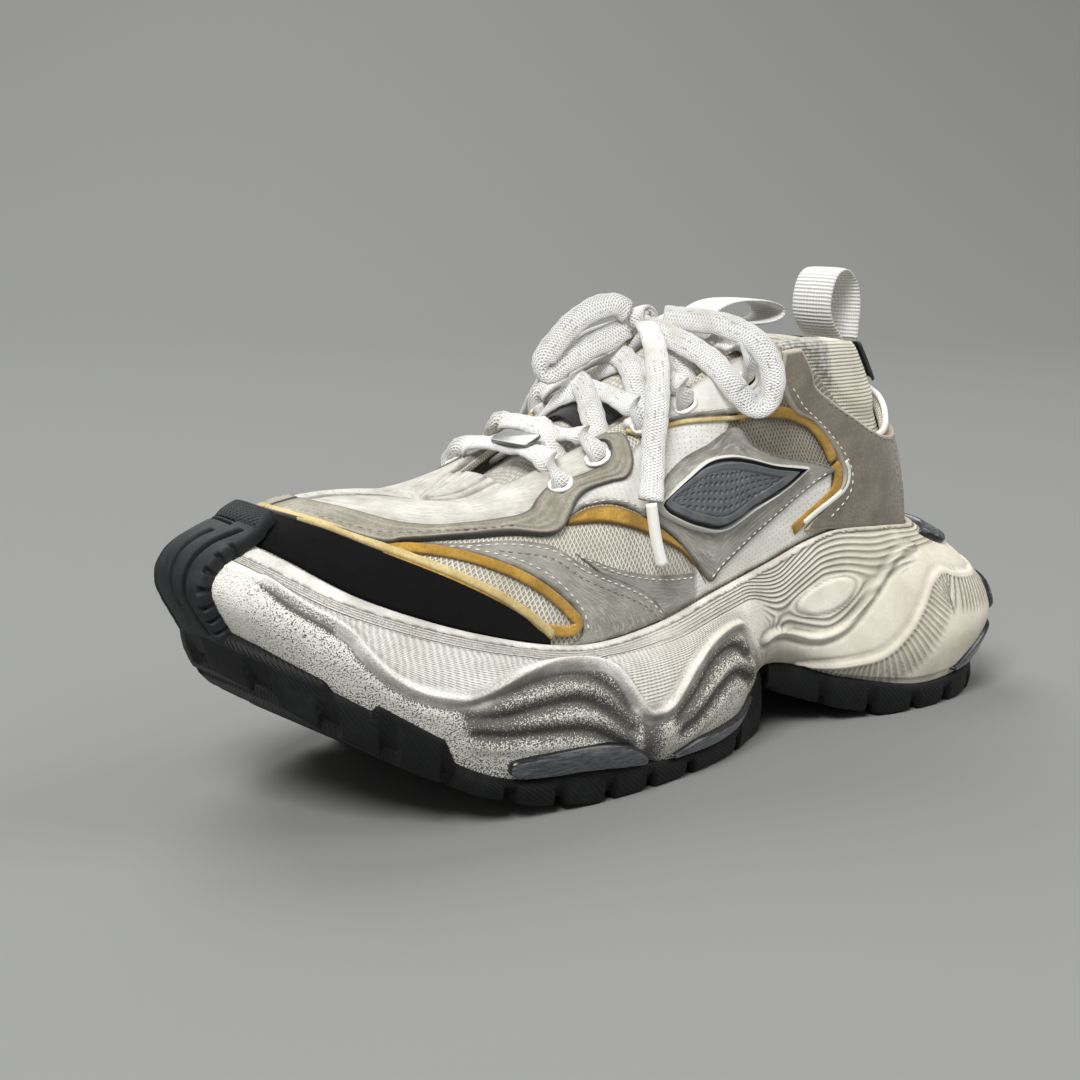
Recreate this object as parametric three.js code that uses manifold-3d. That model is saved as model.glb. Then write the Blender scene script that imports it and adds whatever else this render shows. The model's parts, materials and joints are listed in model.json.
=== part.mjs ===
import * as THREE from "three";
import { mergeVertices } from "three/addons/utils/BufferGeometryUtils.js";
import Module from "manifold-3d";

// A worn chunky running sneaker for the left foot, laced and tied, standing on its sole.
// Millimetres, +Z up, floor at z = 0. The toe points to -X and the outer side faces -Y.
// The shape is read along 13 stations on each side, from the heel (0) round to the toe (12).
// A station number runs on past the toe, up the inner side, and back to the heel at 24.
// "u" is the distance from the rear of the sole towards the toe.

const LENGTH = 345;
const STATIONS = 24;
const TOE = 12;
const COLUMNS_PER_STATION = 2.25;
const COLUMNS = STATIONS * COLUMNS_PER_STATION;
const GAP = 0.3; // clearance between pieces that are glued or sewn on the real shoe

// The widest line of the midsole: u, outer half width, inner half width, height.
const BELLY = [
  [0, 0, 0, 34],
  [7, 34, 32, 33],
  [30, 50, 47, 30],
  [64, 53, 49, 26],
  [98, 48, 43, 26],
  [130, 43, 39, 33],
  [160, 53, 47, 24],
  [192, 61, 54, 20],
  [228, 64, 58, 21],
  [268, 60.5, 56, 31],
  [307, 44, 45, 54],
  [331, 22, 28, 70],
  [339, -5, 5, 76],
];

// The three other lines of the midsole, from the belly: shift of u, part of its width, height.
const FOOT = [
  [10, 1, 12],
  [7, 0.88, 12],
  [4, 0.93, 11],
  [0, 0.95, 10],
  [0, 0.93, 17],
  [0, 0.84, 25],
  [0, 0.93, 9],
  [0, 0.94, 8],
  [0, 0.94, 12],
  [-1, 0.94, 16],
  [-4, 0.93, 38],
  [-9, 0.85, 52],
  [-9, 1, 58],
];
const SHOULDER = [
  [16, 1, 53],
  [13, 0.84, 53],
  [6, 0.86, 52],
  [2, 0.89, 49],
  [0, 0.92, 50],
  [0, 1, 50],
  [0, 0.94, 46],
  [0, 0.93, 42],
  [0, 0.93, 43],
  [0, 0.94, 50],
  [-1, 0.93, 64],
  [-3, 0.9, 79],
  [-3, 1, 84],
];
const RIM = [
  [42, 1, 68],
  [34, 0.61, 67],
  [19, 0.65, 66],
  [6, 0.71, 68],
  [2, 0.8, 69],
  [1, 0.95, 62],
  [0, 0.83, 56],
  [0, 0.8, 50],
  [0, 0.82, 49],
  [0, 0.85, 58],
  [-3, 0.82, 71],
  [-8, 0.72, 83],
  [-10, 1, 88],
];

// The collar and throat line of the last: u, outer half width, inner half width, height,
// then how the wall leaves the sole (out, up) and how it reaches this line (out, up).
const OPENING = [
  [62, 0, 0, 137, 4, 28, 19, -20],
  [66, 14, 14, 139, 4, 28, 14, -22],
  [76, 24, 23, 140, 4, 28, 8, -24],
  [91, 31, 30, 141, 4, 28, 3, -26],
  [113, 33, 31, 141, 4, 28, 1, -26],
  [137, 30, 29, 138, 3, 28, 4, -24],
  [163, 26, 25, 126, 4, 26, 9, -12],
  [188, 22, 21, 115, 4, 24, 15, -5],
  [212, 19, 17, 105, 4, 24, 19, -1],
  [230, 15, 14, 97, 5, 24, 20, 3],
  [240, 11, 11, 92, 6, 23, 24, 6],
  [245, 6, 7, 90, 7, 22, 32, 11],
  [246, -1, 2, 89, 8, 21, 42, 14],
];
// How much of the wall height the outer shell keeps: it is cut low behind the ankle.
const SHELL_EDGE = [0.72, 0.67, 0.54, 0.61, 0.91, 1, 1, 1, 1, 1, 1, 1, 1];

const WELL_DEPTH = 12; // the upper sits this deep inside the rim of the midsole
const WELL_LIP = 6; // from the rim line in to the upper's bottom edge
const WALL = 2.6; // upper
const INSOLE = 4;
const SHELL_ROWS = 8;
const LINING_ROWS = 4;
const SOLE_ROWS = 6;

// Small tools for points and solids

const wasm = await Module();
wasm.setup();

const add = (a, b, k = 1) => a.map((value, i) => value + k * b[i]);
const mix = (a, b, k) => a.map((value, i) => value + k * (b[i] - value));
const clamp01 = (value) => Math.min(1, Math.max(0, value));
const smooth = (value) => clamp01(value) ** 2 * (3 - 2 * clamp01(value));

function unit(a) {
  const size = Math.hypot(...a);
  return a.map((value) => value / size);
}

function cross(a, b) {
  return [a[1] * b[2] - a[2] * b[1], a[2] * b[0] - a[0] * b[2], a[0] * b[1] - a[1] * b[0]];
}

// Thirteen rows, heel to toe, made a ring of 24: the outer side first, then the inner side back.
function ringOf(row) {
  const outer = [...Array(TOE + 1).keys()].map((i) => row(i, -1));
  const inner = [...Array(TOE - 1).keys()].map((i) => row(TOE - 1 - i, 1));
  return outer.concat(inner);
}

// A smooth closed line through the ring's points, read at any station.
function along(ring, station) {
  const count = ring.length;
  const turn = ((station % count) + count) % count;
  const first = Math.floor(turn);
  const f = turn - first;
  const [a, b, c, d] = [-1, 0, 1, 2].map((k) => ring[(first + k + count) % count]);
  return b.map((_, i) => curve(a[i], b[i], c[i], d[i], f));
}

function curve(a, b, c, d, f) {
  const bend = 2 * a - 5 * b + 4 * c - d;
  const twist = -a + 3 * b - 3 * c + d;
  return 0.5 * (2 * b + (c - a) * f + bend * f * f + twist * f * f * f);
}

// A closed solid from points and faces, turned outwards.
function solid(points, faces) {
  let volume = 0;
  for (const [a, b, c] of faces) {
    const n = cross(points[b], points[c]);
    volume += points[a][0] * n[0] + points[a][1] * n[1] + points[a][2] * n[2];
  }
  const turned = volume < 0 ? faces.map(([a, b, c]) => [a, c, b]) : faces;
  const geometry = new THREE.BufferGeometry();
  geometry.setAttribute("position", new THREE.Float32BufferAttribute(points.flat(), 3));
  geometry.setIndex(turned.flat());
  return geometry;
}

// The two triangles of a grid cell. Every grid is split along the same diagonal.
const cell = (a, b, c, d) => [
  [a, b, c],
  [a, c, d],
];

function toManifold(geometry) {
  const bare = geometry.clone();
  bare.deleteAttribute("normal");
  bare.deleteAttribute("uv");
  const merged = mergeVertices(bare, 1e-4);
  return new wasm.Manifold(
    new wasm.Mesh({
      numProp: 3,
      vertProperties: new Float32Array(merged.attributes.position.array),
      triVerts: new Uint32Array(merged.index.array),
    }),
  );
}

function toGeometry(manifold) {
  const mesh = manifold.getMesh();
  const geometry = new THREE.BufferGeometry();
  geometry.setAttribute("position", new THREE.BufferAttribute(mesh.vertProperties, 3));
  geometry.setIndex(new THREE.BufferAttribute(mesh.triVerts, 1));
  return geometry;
}

const join = (first, ...rest) =>
  toGeometry(rest.reduce((sum, g) => sum.add(toManifold(g)), toManifold(first)));
const cut = (first, ...rest) =>
  toGeometry(rest.reduce((sum, g) => sum.subtract(toManifold(g)), toManifold(first)));
const common = (a, b) => toGeometry(toManifold(a).intersect(toManifold(b)));

// Rings of points stacked into one solid. Both ends are closed by strips across the shoe.
function stack(rings) {
  const n = rings[0].length;
  const faces = [];
  for (let j = 0; j + 1 < rings.length; j++)
    for (let i = 0; i < n; i++) {
      const next = (i + 1) % n;
      faces.push(...cell(j * n + i, j * n + next, (j + 1) * n + next, (j + 1) * n + i));
    }
  for (const [start, low] of [[0, true], [(rings.length - 1) * n, false]])
    for (let i = 0; i < n / 2; i++) {
      const a = start + i;
      const b = start + i + 1;
      const c = start + n - i - 1;
      const d = start + ((n - i) % n);
      const strip = i === 0 ? [[a, b, c]] : c === b ? [[a, b, d]] : cell(a, b, c, d);
      faces.push(...(low ? strip.map(([p, q, r]) => [p, r, q]) : strip));
    }
  return solid(rings.flat(), faces);
}

// A section of points carried along rows. It closes on itself, or has two flat ends.
function carry(rows, closed) {
  const n = rows[0].length;
  const last = closed ? rows.length : rows.length - 1;
  const faces = [];
  for (let j = 0; j < last; j++)
    for (let i = 0; i < n; i++) {
      const next = (i + 1) % n;
      const up = (j + 1) % rows.length;
      faces.push(...cell(j * n + i, j * n + next, up * n + next, up * n + i));
    }
  if (!closed)
    for (let i = 1; i + 1 < n; i++) {
      const end = (rows.length - 1) * n;
      faces.push([0, i + 1, i], [end, end + i, end + i + 1]);
    }
  return solid(rows.flat(), faces);
}

// The surfaces of the shoe. Each takes a station, a level and a distance out of the surface.

const bellyRing = ringOf((i, side) => [LENGTH / 2 - BELLY[i][0], halfWidth(i, side), BELLY[i][3]]);

function halfWidth(i, side) {
  return i === TOE ? -BELLY[i][1] : side * BELLY[i][side < 0 ? 1 : 2];
}

function sideRing(table) {
  return ringOf((i, side) => [
    LENGTH / 2 - BELLY[i][0] - table[i][0],
    halfWidth(i, side) * table[i][1],
    table[i][2],
  ]);
}

const soleRings = [sideRing(FOOT), bellyRing, sideRing(SHOULDER), sideRing(RIM)];
const openingRing = ringOf((i, side) => {
  const width = OPENING[i][side < 0 ? 1 : 2];
  return [LENGTH / 2 - OPENING[i][0], i === TOE ? -width : side * width, ...OPENING[i].slice(3)];
});
const edgeRing = ringOf((i) => [SHELL_EDGE[i]]);

// Level 0 is the foam's foot, 1 the belly, 2 the shoulder and 3 the rim.
function solePoint(station, level) {
  const points = soleRings.map((ring) => along(ring, station));
  const first = Math.min(2, Math.max(0, Math.floor(level)));
  const f = level - first;
  const before = first > 0 ? points[first - 1] : add(add(points[0], points[0]), points[1], -1);
  const after = first < 2 ? points[first + 2] : add(add(points[3], points[3]), points[2], -1);
  return points[first].map((_, i) =>
    curve(before[i], points[first][i], points[first + 1][i], after[i], f),
  );
}

// The direction out of the shoe, level with the floor, at the rim line.
function outward(station) {
  const step = 0.024;
  const a = along(soleRings[3], station - step);
  const b = along(soleRings[3], station + step);
  return unit([-(a[1] - b[1]), a[0] - b[0], 0]).map((value) => -value);
}

// Level 0 is the upper's bottom edge in the well, and 1 is the collar and throat line.
function lastPoint(station, level) {
  const rim = along(soleRings[3], station);
  const out = outward(station);
  const foot = add(add(rim, out, -(WELL_LIP + GAP)), [0, 0, -WELL_DEPTH]);
  const line = along(openingRing, station);
  const low = add(add(foot, out, line[3]), [0, 0, line[4]]);
  const top = line.slice(0, 3);
  const high = add(add(top, out, line[5]), [0, 0, line[6]]);
  const r = 1 - level;
  return foot.map(
    (value, i) =>
      r ** 3 * value +
      3 * r * r * level * low[i] +
      3 * r * level * level * high[i] +
      level ** 3 * top[i],
  );
}

const shellPoint = (station, level) => lastPoint(station, level * along(edgeRing, station)[0]);

// Adds a distance out of the surface to a function of station and level.
function offsetBy(surface) {
  return (station, level, out = 0) => {
    const point = surface(station, level);
    if (out === 0) return point;
    const step = 0.01;
    const round = add(surface(station + step, level), surface(station - step, level), -1);
    const rise = add(surface(station, level + step), surface(station, level - step), -1);
    return add(point, unit(cross(rise, round)), out);
  };
}

const sole = offsetBy(solePoint);
const last = offsetBy(lastPoint);
const shell = offsetBy(shellPoint);

const stationOf = (column) => column / COLUMNS_PER_STATION;
const columns = [...Array(COLUMNS).keys()];
const ringAt = (point) => columns.map((i) => point(stationOf(i)));

// Where the upper passes the height of the rim.
function rimLevel(station) {
  const height = along(soleRings[3], station)[2];
  let [low, high] = [0, 0.5];
  for (let k = 0; k < 20; k++) {
    const middle = (low + high) / 2;
    if (lastPoint(station, middle)[2] < height) low = middle;
    else high = middle;
  }
  return low;
}

// A plate that lies on a surface inside an outline of stations and levels. The outline is cut
// from a flat slab whose facets are the surface's own, and each facet is then laid on the shoe,
// so that the plate keeps an even gap to what it covers.
function plate(surface, rows, topLevel, outline, inner, outer) {
  const SLAB = 10;
  const CROWN = 0.05; // keeps flat facets apart in the cut, and is dropped again afterwards
  const ends = outline.map((p) => p[0] * COLUMNS_PER_STATION);
  const first = Math.floor(Math.min(...ends)) - 1;
  const count = Math.ceil(Math.max(...ends)) + 2 - first;
  const levelOf = (row) => (row / rows) * topLevel;
  const crown = (i, j) => CROWN * ((i - first - count / 2) ** 2 + (j - rows / 2) ** 2);
  const points = [];
  const faces = [];
  for (const k of [0, 1])
    for (let i = 0; i < count; i++)
      for (let j = 0; j <= rows; j++) points.push([first + i, j, k * SLAB + crown(first + i, j)]);
  const at = (k, i, j) => (k * count + i) * (rows + 1) + j;
  for (let i = 0; i + 1 < count; i++)
    for (let j = 0; j < rows; j++) {
      const quad = (k) => [at(k, i, j), at(k, i + 1, j), at(k, i + 1, j + 1), at(k, i, j + 1)];
      faces.push(...cell(...quad(1)), ...cell(...quad(0)).map(([a, b, c]) => [a, c, b]));
    }
  const wall = (i, j, p, q) => faces.push(...cell(at(0, i, j), at(0, p, q), at(1, p, q), at(1, i, j)));
  for (let i = 0; i + 1 < count; i++) {
    wall(i, 0, i + 1, 0);
    wall(i + 1, rows, i, rows);
  }
  for (let j = 0; j < rows; j++) {
    wall(count - 1, j, count - 1, j + 1);
    wall(0, j + 1, 0, j);
  }
  const shape = new THREE.Shape(
    outline.map(([station, level]) => {
      return new THREE.Vector2(station * COLUMNS_PER_STATION, (level / topLevel) * rows);
    }),
  );
  const depth = 8 * SLAB;
  const prism = new THREE.ExtrudeGeometry(shape, { depth, bevelEnabled: false });
  prism.translate(0, 0, -depth / 2);
  const flat = common(solid(points, faces), prism);
  const place = flat.attributes.position;
  const laid = [];
  for (let n = 0; n < place.count; n++) {
    const [x, y] = [place.getX(n), place.getY(n)];
    const i = Math.floor(x);
    const j = Math.min(rows - 1, Math.max(0, Math.floor(y)));
    const [fx, fy] = [x - i, y - j];
    const out = place.getZ(n) - crown(x, y) > SLAB / 2 ? outer : inner;
    const corner = (a, b) => surface(stationOf(i + a), levelOf(j + b), out);
    const far = corner(1, 1);
    const near = corner(0, 0);
    const side = fx > fy ? corner(1, 0) : corner(0, 1);
    const [big, small] = fx > fy ? [fx, fy] : [fy, fx];
    laid.push(add(add(near, add(side, near, -1), big), add(far, side, -1), small));
  }
  const index = flat.index.array;
  const laidFaces = [];
  for (let n = 0; n < index.length; n += 3) laidFaces.push([index[n], index[n + 1], index[n + 2]]);
  return solid(laid, laidFaces);
}

const overUpper = (outline, inner, outer) => plate(shell, SHELL_ROWS, 1, outline, inner, outer);
const overSole = (outline, inner, outer) => plate(sole, SOLE_ROWS, 3, outline, inner, outer);
const mirrored = (outline) => outline.map(([station, level]) => [STATIONS - station, level]);

// A flat strap along a route of points, with a width direction for each tangent of the route.
function strap(route, acrossAt, width, thickness, steps) {
  const path = new THREE.CatmullRomCurve3(route.map((p) => new THREE.Vector3(...p)));
  const rows = [];
  for (let k = 0; k <= steps; k++) {
    const here = path.getPoint(k / steps).toArray();
    const tangent = path.getTangent(k / steps).toArray();
    const face = unit(cross(tangent, acrossAt(tangent)));
    const across = cross(face, tangent);
    const corner = (a, b) => add(add(here, across, (a * width) / 2), face, (b * thickness) / 2);
    rows.push([corner(-1, -1), corner(1, -1), corner(1, 1), corner(-1, 1)]);
  }
  return carry(rows, false);
}

const group = new THREE.Group();

function piece(name, geometry, color, roughness, metalness = 0) {
  const material = new THREE.MeshStandardMaterial({ color, roughness, metalness, flatShading: true });
  const mesh = new THREE.Mesh(geometry, material);
  mesh.name = name;
  group.add(mesh);
}

// Midsole: one block of foam with its sculpted side, a rim, and the well that holds the upper.

const FLOOR_DROP = 0.3;
const RIDGE = 2.2; // the ribs and waves stand this far out of the side
const wellRing = (part) =>
  ringAt((s) => {
    const height = along(soleRings[3], s)[2];
    const point = last(s, rimLevel(s) * part, GAP + 0.2);
    return [point[0], point[1], part === 1 ? height : point[2]];
  });

function midsoleBody() {
  const rings = [];
  for (let j = 0; j <= SOLE_ROWS; j++) rings.push(ringAt((s) => solePoint(s, (3 * j) / SOLE_ROWS)));
  rings.push(wellRing(1), wellRing(0.5));
  rings.push(wellRing(0).map((p) => add(p, [0, 0, -FLOOR_DROP])));
  return stack(rings);
}

// The lines of the side: the wave over both pods, the brow under the eye, the heel panel's edge.
const WAVE = [
  [10.91, 2.4], [10.3, 2.13], [10.02, 1.9], [9.82, 1.33], [9.58, 1.17], [9.17, 1.42], [8.8, 1.95],
  [8.35, 2.38], [8, 2.4], [7.7, 1.85], [7.45, 1.3], [7.2, 1.33], [6.73, 1.74], [6.2, 2.02],
  [5.8, 1.9], [5.5, 1.3],
];
const BROW = [[5.25, 1.4], [4.56, 1.23], [3.89, 1.61], [3.22, 2.35], [2.95, 2.48]];
const HEEL_WAVE = [[4.2, 0.5], [3.62, 0.92], [3.1, 1.4], [2.66, 1.88], [2.4, 1.9]];
const EYE = { station: 4.28, level: 1.9, across: 0.43, up: 0.24, tilt: 0.31 };

function ribbon(line, width) {
  const upper = line.map(([s, level]) => [s, level + width / 2]);
  const lower = line.map(([s, level]) => [s, level - width / 2]);
  return upper.concat(lower.reverse());
}

function eyeOutline() {
  const POINTS = 10;
  return [...Array(POINTS).keys()].map((k) => {
    const angle = (-2 * Math.PI * k) / POINTS;
    const s = Math.cos(angle) * EYE.across;
    return [EYE.station + s, EYE.level + Math.sin(angle) * EYE.up - s * EYE.tilt];
  });
}

function midsole() {
  const WIDTH = 0.17; // of a level
  const reliefs = [...[WAVE, BROW, HEEL_WAVE].map((line) => ribbon(line, WIDTH)), eyeOutline()];
  const both = reliefs.concat(reliefs.map(mirrored));
  return join(midsoleBody(), ...both.map((line) => overSole(line, -1.5, RIDGE)));
}
piece("midsole", midsole(), 0xe6e2d6, 0.8);

// Upper: one hollow shell on the last, open at the collar, the throat and underneath.

function upperShell() {
  const rows = columns.map((i) => {
    const s = stationOf(i);
    const section = [];
    for (let j = 0; j <= SHELL_ROWS; j++) section.push(shell(s, j / SHELL_ROWS));
    for (let j = LINING_ROWS; j >= 0; j--) section.push(shell(s, (j / LINING_ROWS) * 0.985, -WALL));
    return section;
  });
  return carry(rows, true);
}
piece("upper", upperShell(), 0xd9d6cc, 0.85);

function insole() {
  const inset = -(WALL + 1.3);
  const low = ringAt((s) => last(s, 0, inset));
  const top = low.map((p) => add(p, [0, 0, INSOLE]));
  return stack([low, top]);
}
piece("insole", insole(), 0xcfcabb, 0.95);

// Hard grey plastic plates let into the foot of the foam.

const INSERTS = {
  insert_forefoot: [[8.85, 0.13], [8.8, 0.5], [8.07, 1], [7.7, 0.9], [7.5, 0.5], [7.45, 0.13]],
  insert_pod: [[7.1, 0.13], [6.9, 0.4], [6.68, 0.5], [6.2, 0.45], [5.72, 0.3], [5.5, 0.13]],
  insert_heel: [[2.4, 0.13], [2, 0.5], [1.5, 0.7], [0.9, 0.6], [0.8, 0.3], [1.6, 0.3]],
};
const HEEL_CAPS = {
  insert_heel_top: [[0, 2.86], [2.1, 2.86], [2.1, 2.7], [1.8, 2.38], [1.2, 2.42], [0, 2.5]],
  insert_heel_rear: [[0, 1.55], [0.9, 1.45], [1.42, 1.15], [1.1, 0.78], [0, 0.75]],
};
const INSERT_SKIN = [GAP + 0.7, GAP + 2.4];
for (const [name, outline] of Object.entries(INSERTS)) {
  piece(name + "_outer", overSole(outline, ...INSERT_SKIN), 0x3f4448, 0.3);
  piece(name + "_inner", overSole(mirrored(outline), ...INSERT_SKIN), 0x3f4448, 0.3);
}
for (const [name, outline] of Object.entries(HEEL_CAPS)) {
  const back = outline.filter(([s]) => s > 0).map(([s, level]) => [-s, level]);
  piece(name, overSole([...outline, ...back.reverse()], ...INSERT_SKIN), 0x3f4448, 0.3);
}

// Overlays of the upper, each cut from a skin that follows the shell.

// A point of an outline just above the midsole's rim, which the overlays tuck down to.
const RIM_CLEARANCE = 0.015;
const atRim = (station) => [station, rimLevel(station) / along(edgeRing, station)[0] + RIM_CLEARANCE];

const SKIN = [GAP + 0.1, GAP + 1.5];
const THICK = [GAP + 0.1, GAP + 2.1];
const TOE_PANEL_EDGE = [
  atRim(8.28), [8.45, 0.24], [8.65, 0.28], [9.03, 0.33], [9.56, 0.38], [10.2, 0.41], [11.15, 0.42],
];
const toePanel = [
  ...TOE_PANEL_EDGE,
  [TOE, 0.43],
  ...mirrored(TOE_PANEL_EDGE).reverse(),
  ...[15.2, 14.6, 14, 13.4, 12.8, TOE, 11.2, 10.6, 10, 9.4, 8.8].map(atRim),
];
piece("toe_panel", overUpper(toePanel, ...SKIN), 0x0b0b0c, 0.95);

const EYESTAY_EDGE = [
  [7.05, 0.96], [7.02, 0.85], [7.1, 0.74], [7.26, 0.69], [7.5, 0.695], [7.85, 0.71], [8.05, 0.68],
  [8.18, 0.62], [8.3, 0.56], [8.5, 0.55], [9.03, 0.57], [9.64, 0.54], [10.02, 0.505], [10.25, 0.45],
  [11, 0.46],
];
const eyestay = [
  ...EYESTAY_EDGE,
  [TOE, 0.47],
  ...mirrored(EYESTAY_EDGE).reverse(),
  [15.4, 0.97],
  [TOE, 0.97],
  [8.6, 0.97],
];
piece("eyestay", overUpper(eyestay, ...THICK), 0xa9a69c, 0.9);

const COLLAR_FLAP = [
  [4.35, 0.95], [4.5, 0.76], [5.3, 0.745], [6.26, 0.83], [6.95, 0.86], [6.97, 0.96], [5.6, 0.97],
];
piece("eyelet_flap_outer", overUpper(COLLAR_FLAP, ...THICK), 0xe9e7df, 0.7);
piece("eyelet_flap_inner", overUpper(mirrored(COLLAR_FLAP), ...THICK), 0xe9e7df, 0.7);

const HEEL_COUNTER = [
  [4.1, 0.96], [4.2, 0.72], [3.98, 0.7], [3.76, 0.65], [3.61, 0.59], [3.55, 0.5], [3.68, 0.39],
  [3.98, 0.3], atRim(4.25),
];
const HEEL_REAR = [3.6, 3, 2.4, 1.8, 1.2, 0.6, 0].map(atRim);
const COUNTER_TOP = [[0, 0.95], [1, 0.95], [2, 0.95], [3, 0.95], [3.6, 0.95]];
const counter = [
  ...HEEL_COUNTER,
  ...HEEL_REAR,
  ...HEEL_REAR.slice(0, -1).map(([s, v]) => [-s, v]).reverse(),
  ...HEEL_COUNTER.map(([s, v]) => [-s, v]).reverse(),
  ...COUNTER_TOP.slice(1).map(([s, v]) => [-s, v]).reverse(),
  ...COUNTER_TOP,
];
piece("heel_counter", overUpper(counter, ...THICK), 0x8b8478, 0.95);

const SIDE_PANEL = [
  [5.5, 0.7], [5.95, 0.67], [6.7, 0.665], [7.1, 0.6], [7.75, 0.625], [7.55, 0.6], [7, 0.5],
  [6.56, 0.39], [6.28, 0.28], atRim(6.08), atRim(5.7), [4.46, 0.33], [3.74, 0.51], [4.37, 0.54],
  [5, 0.6], [5.3, 0.68],
];
piece("side_panel_outer", overUpper(SIDE_PANEL, ...SKIN), 0xb9b8b2, 0.6);
piece("side_panel_inner", overUpper(mirrored(SIDE_PANEL), ...SKIN), 0xb9b8b2, 0.6);

const WING_PANEL = [
  [8.42, 0.51], [9, 0.52], [9.6, 0.5], [9.4, 0.48], [8.9, 0.44], [8.45, 0.36], [8.1, 0.28],
  atRim(7.98), atRim(7.6), atRim(6.82), [7.1, 0.28], [7.8, 0.42],
];
piece("wing_panel_outer", overUpper(WING_PANEL, ...SKIN), 0x8f8e88, 0.75);
piece("wing_panel_inner", overUpper(mirrored(WING_PANEL), ...SKIN), 0x8f8e88, 0.75);

// A plain raised rubber plate on each side.
const SIDE_BADGE = [
  [6.36, 0.59], [5.95, 0.625], [5.6, 0.61], [5.3, 0.58], [4.79, 0.515], [4.2, 0.455], [4.64, 0.4],
  [5.21, 0.375], [5.79, 0.355], [6.3, 0.41], [6.75, 0.5], [6.85, 0.56],
];
const BADGE = [SKIN[1] + GAP, SKIN[1] + GAP + 2.2];
piece("side_badge_outer", overUpper(SIDE_BADGE, ...BADGE), 0x45484a, 0.45);
piece("side_badge_inner", overUpper(mirrored(SIDE_BADGE), ...BADGE), 0x45484a, 0.45);

// Outsole: black rubber in two parts, with an arch gap between them and a bumper over the toe.

const RUBBER_GAP = 0.3;
const LUG_DEPTH = 3.2;
const LUG_GROOVE = 4.5;
const GROUND_FRONT = [
  [134, 1], [139, 0], [230, 0], [253, 4], [273, 10.5], [291, 19.5], [303, 27], [313, 33], [321, 39.5],
  [329, 46], [337, 53], [347, 64],
];
const GROUND_HEEL = [
  [-8, 12], [2, 4.5], [14, 0], [78, 0], [99, 5], [122, 13], [130, 17],
];
const FRONT_GROOVES = [156, 186, 206, 224, 244, 262, 281, 297, 311, 324, 334];
const HEEL_GROOVES = [30, 48, 66, 86, 106];

// The ground line with a notch between the lugs.
function treadLine(ground, grooves) {
  const line = [];
  const heightAt = (u) => {
    const k = Math.max(1, ground.findIndex((p) => p[0] >= u));
    const [a, b] = [ground[k - 1], ground[k]];
    return a[1] + ((b[1] - a[1]) * (u - a[0])) / (b[0] - a[0]);
  };
  for (const u of grooves) {
    const [a, b] = [u - LUG_GROOVE / 2, u + LUG_GROOVE / 2];
    line.push([a, heightAt(a)], [a + 1, heightAt(a) + LUG_DEPTH]);
    line.push([b - 1, heightAt(b) + LUG_DEPTH], [b, heightAt(b)]);
  }
  const inGroove = (u) => grooves.some((g) => Math.abs(u - g) < LUG_GROOVE / 2 + 0.5);
  const kept = ground.filter((p) => !inGroove(p[0]));
  return kept.concat(line).sort((a, b) => a[0] - b[0]);
}

const rubberLip = (s) => 2 + 2.5 * smooth((s - 9.8) / 1.6) * smooth((14.2 - s) / 1.6);

// How far the rubber climbs the foam, as a level: in steps at the toe, low along the side.
const LIP_STEPS = [[9.34, 0], [9.9, 0.4], [10.3, 0.2], [TOE, 0.34]];

function lipLevel(station) {
  const s = Math.min(station, STATIONS - station);
  return LIP_STEPS.find(([end]) => s <= end)[1];
}

// The whole rubber bottom before it is cut to its side outline.
function rubberBody() {
  const edge = (s) => add(solePoint(s, 0), outward(s), rubberLip(s));
  const lowered = (s, drop) => add(edge(s), [0, 0, -drop]);
  const bed = ringAt((s) => add(solePoint(s, 0), [0, 0, -RUBBER_GAP]));
  const corner = ringAt((s) => add(sole(s, 0, 1.5 * RUBBER_GAP), [0, 0, -RUBBER_GAP]));
  const inner = ringAt((s) => sole(s, lipLevel(s), 1.5 * RUBBER_GAP));
  const outer = ringAt((s) => sole(s, lipLevel(s) - 0.04, rubberLip(s)));
  const waist = ringAt((s) => add(lowered(s, 7), outward(s), -0.5));
  const ground = ringAt((s) => {
    const p = add(edge(s), outward(s), -3);
    return [p[0], p[1], Math.min(p[2] - 9, -2)];
  });
  return stack([ground, waist, outer, inner, corner, bed]);
}

function sideProfile(line, back, front) {
  const TOP = 120;
  const outline = [...line, [front, TOP], [back, TOP]];
  const shape = new THREE.Shape(outline.map(([u, z]) => new THREE.Vector2(LENGTH / 2 - u, z)));
  const width = 200;
  const prism = new THREE.ExtrudeGeometry(shape, { depth: width, bevelEnabled: false });
  return prism.rotateX(Math.PI / 2).translate(0, width / 2, 0);
}

// A channel along the middle of the tread, from one u to another.
function channel(from, to, y, width) {
  const box = new THREE.BoxGeometry(to - from, width, 2 * LUG_DEPTH);
  return box.translate(LENGTH / 2 - (from + to) / 2, y, 0);
}

// The bumper's surface at a sideways place, from the outsole up over the toe to the vamp.
const BUMPER = { middle: 4, width: 28, clear: 0.6, thickness: 4 };
const BUMPER_RUNGS = [
  [sole, -0.25, 0],
  ...[...Array(SOLE_ROWS + 1).keys()].map((j) => [sole, (3 * j) / SOLE_ROWS, 0]),
  ...[0.25, 0.3, 0.375].map((level) => [shell, level, SKIN[1] + 1.5]),
];

function bumperPoint([surface, level, lift], y, out) {
  let [low, high] = [10.2, 13.8];
  for (let k = 0; k < 24; k++) {
    const middle = (low + high) / 2;
    if (surface(middle, level)[1] < y) low = middle;
    else high = middle;
  }
  return surface(low, level, lift + out);
}

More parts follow.
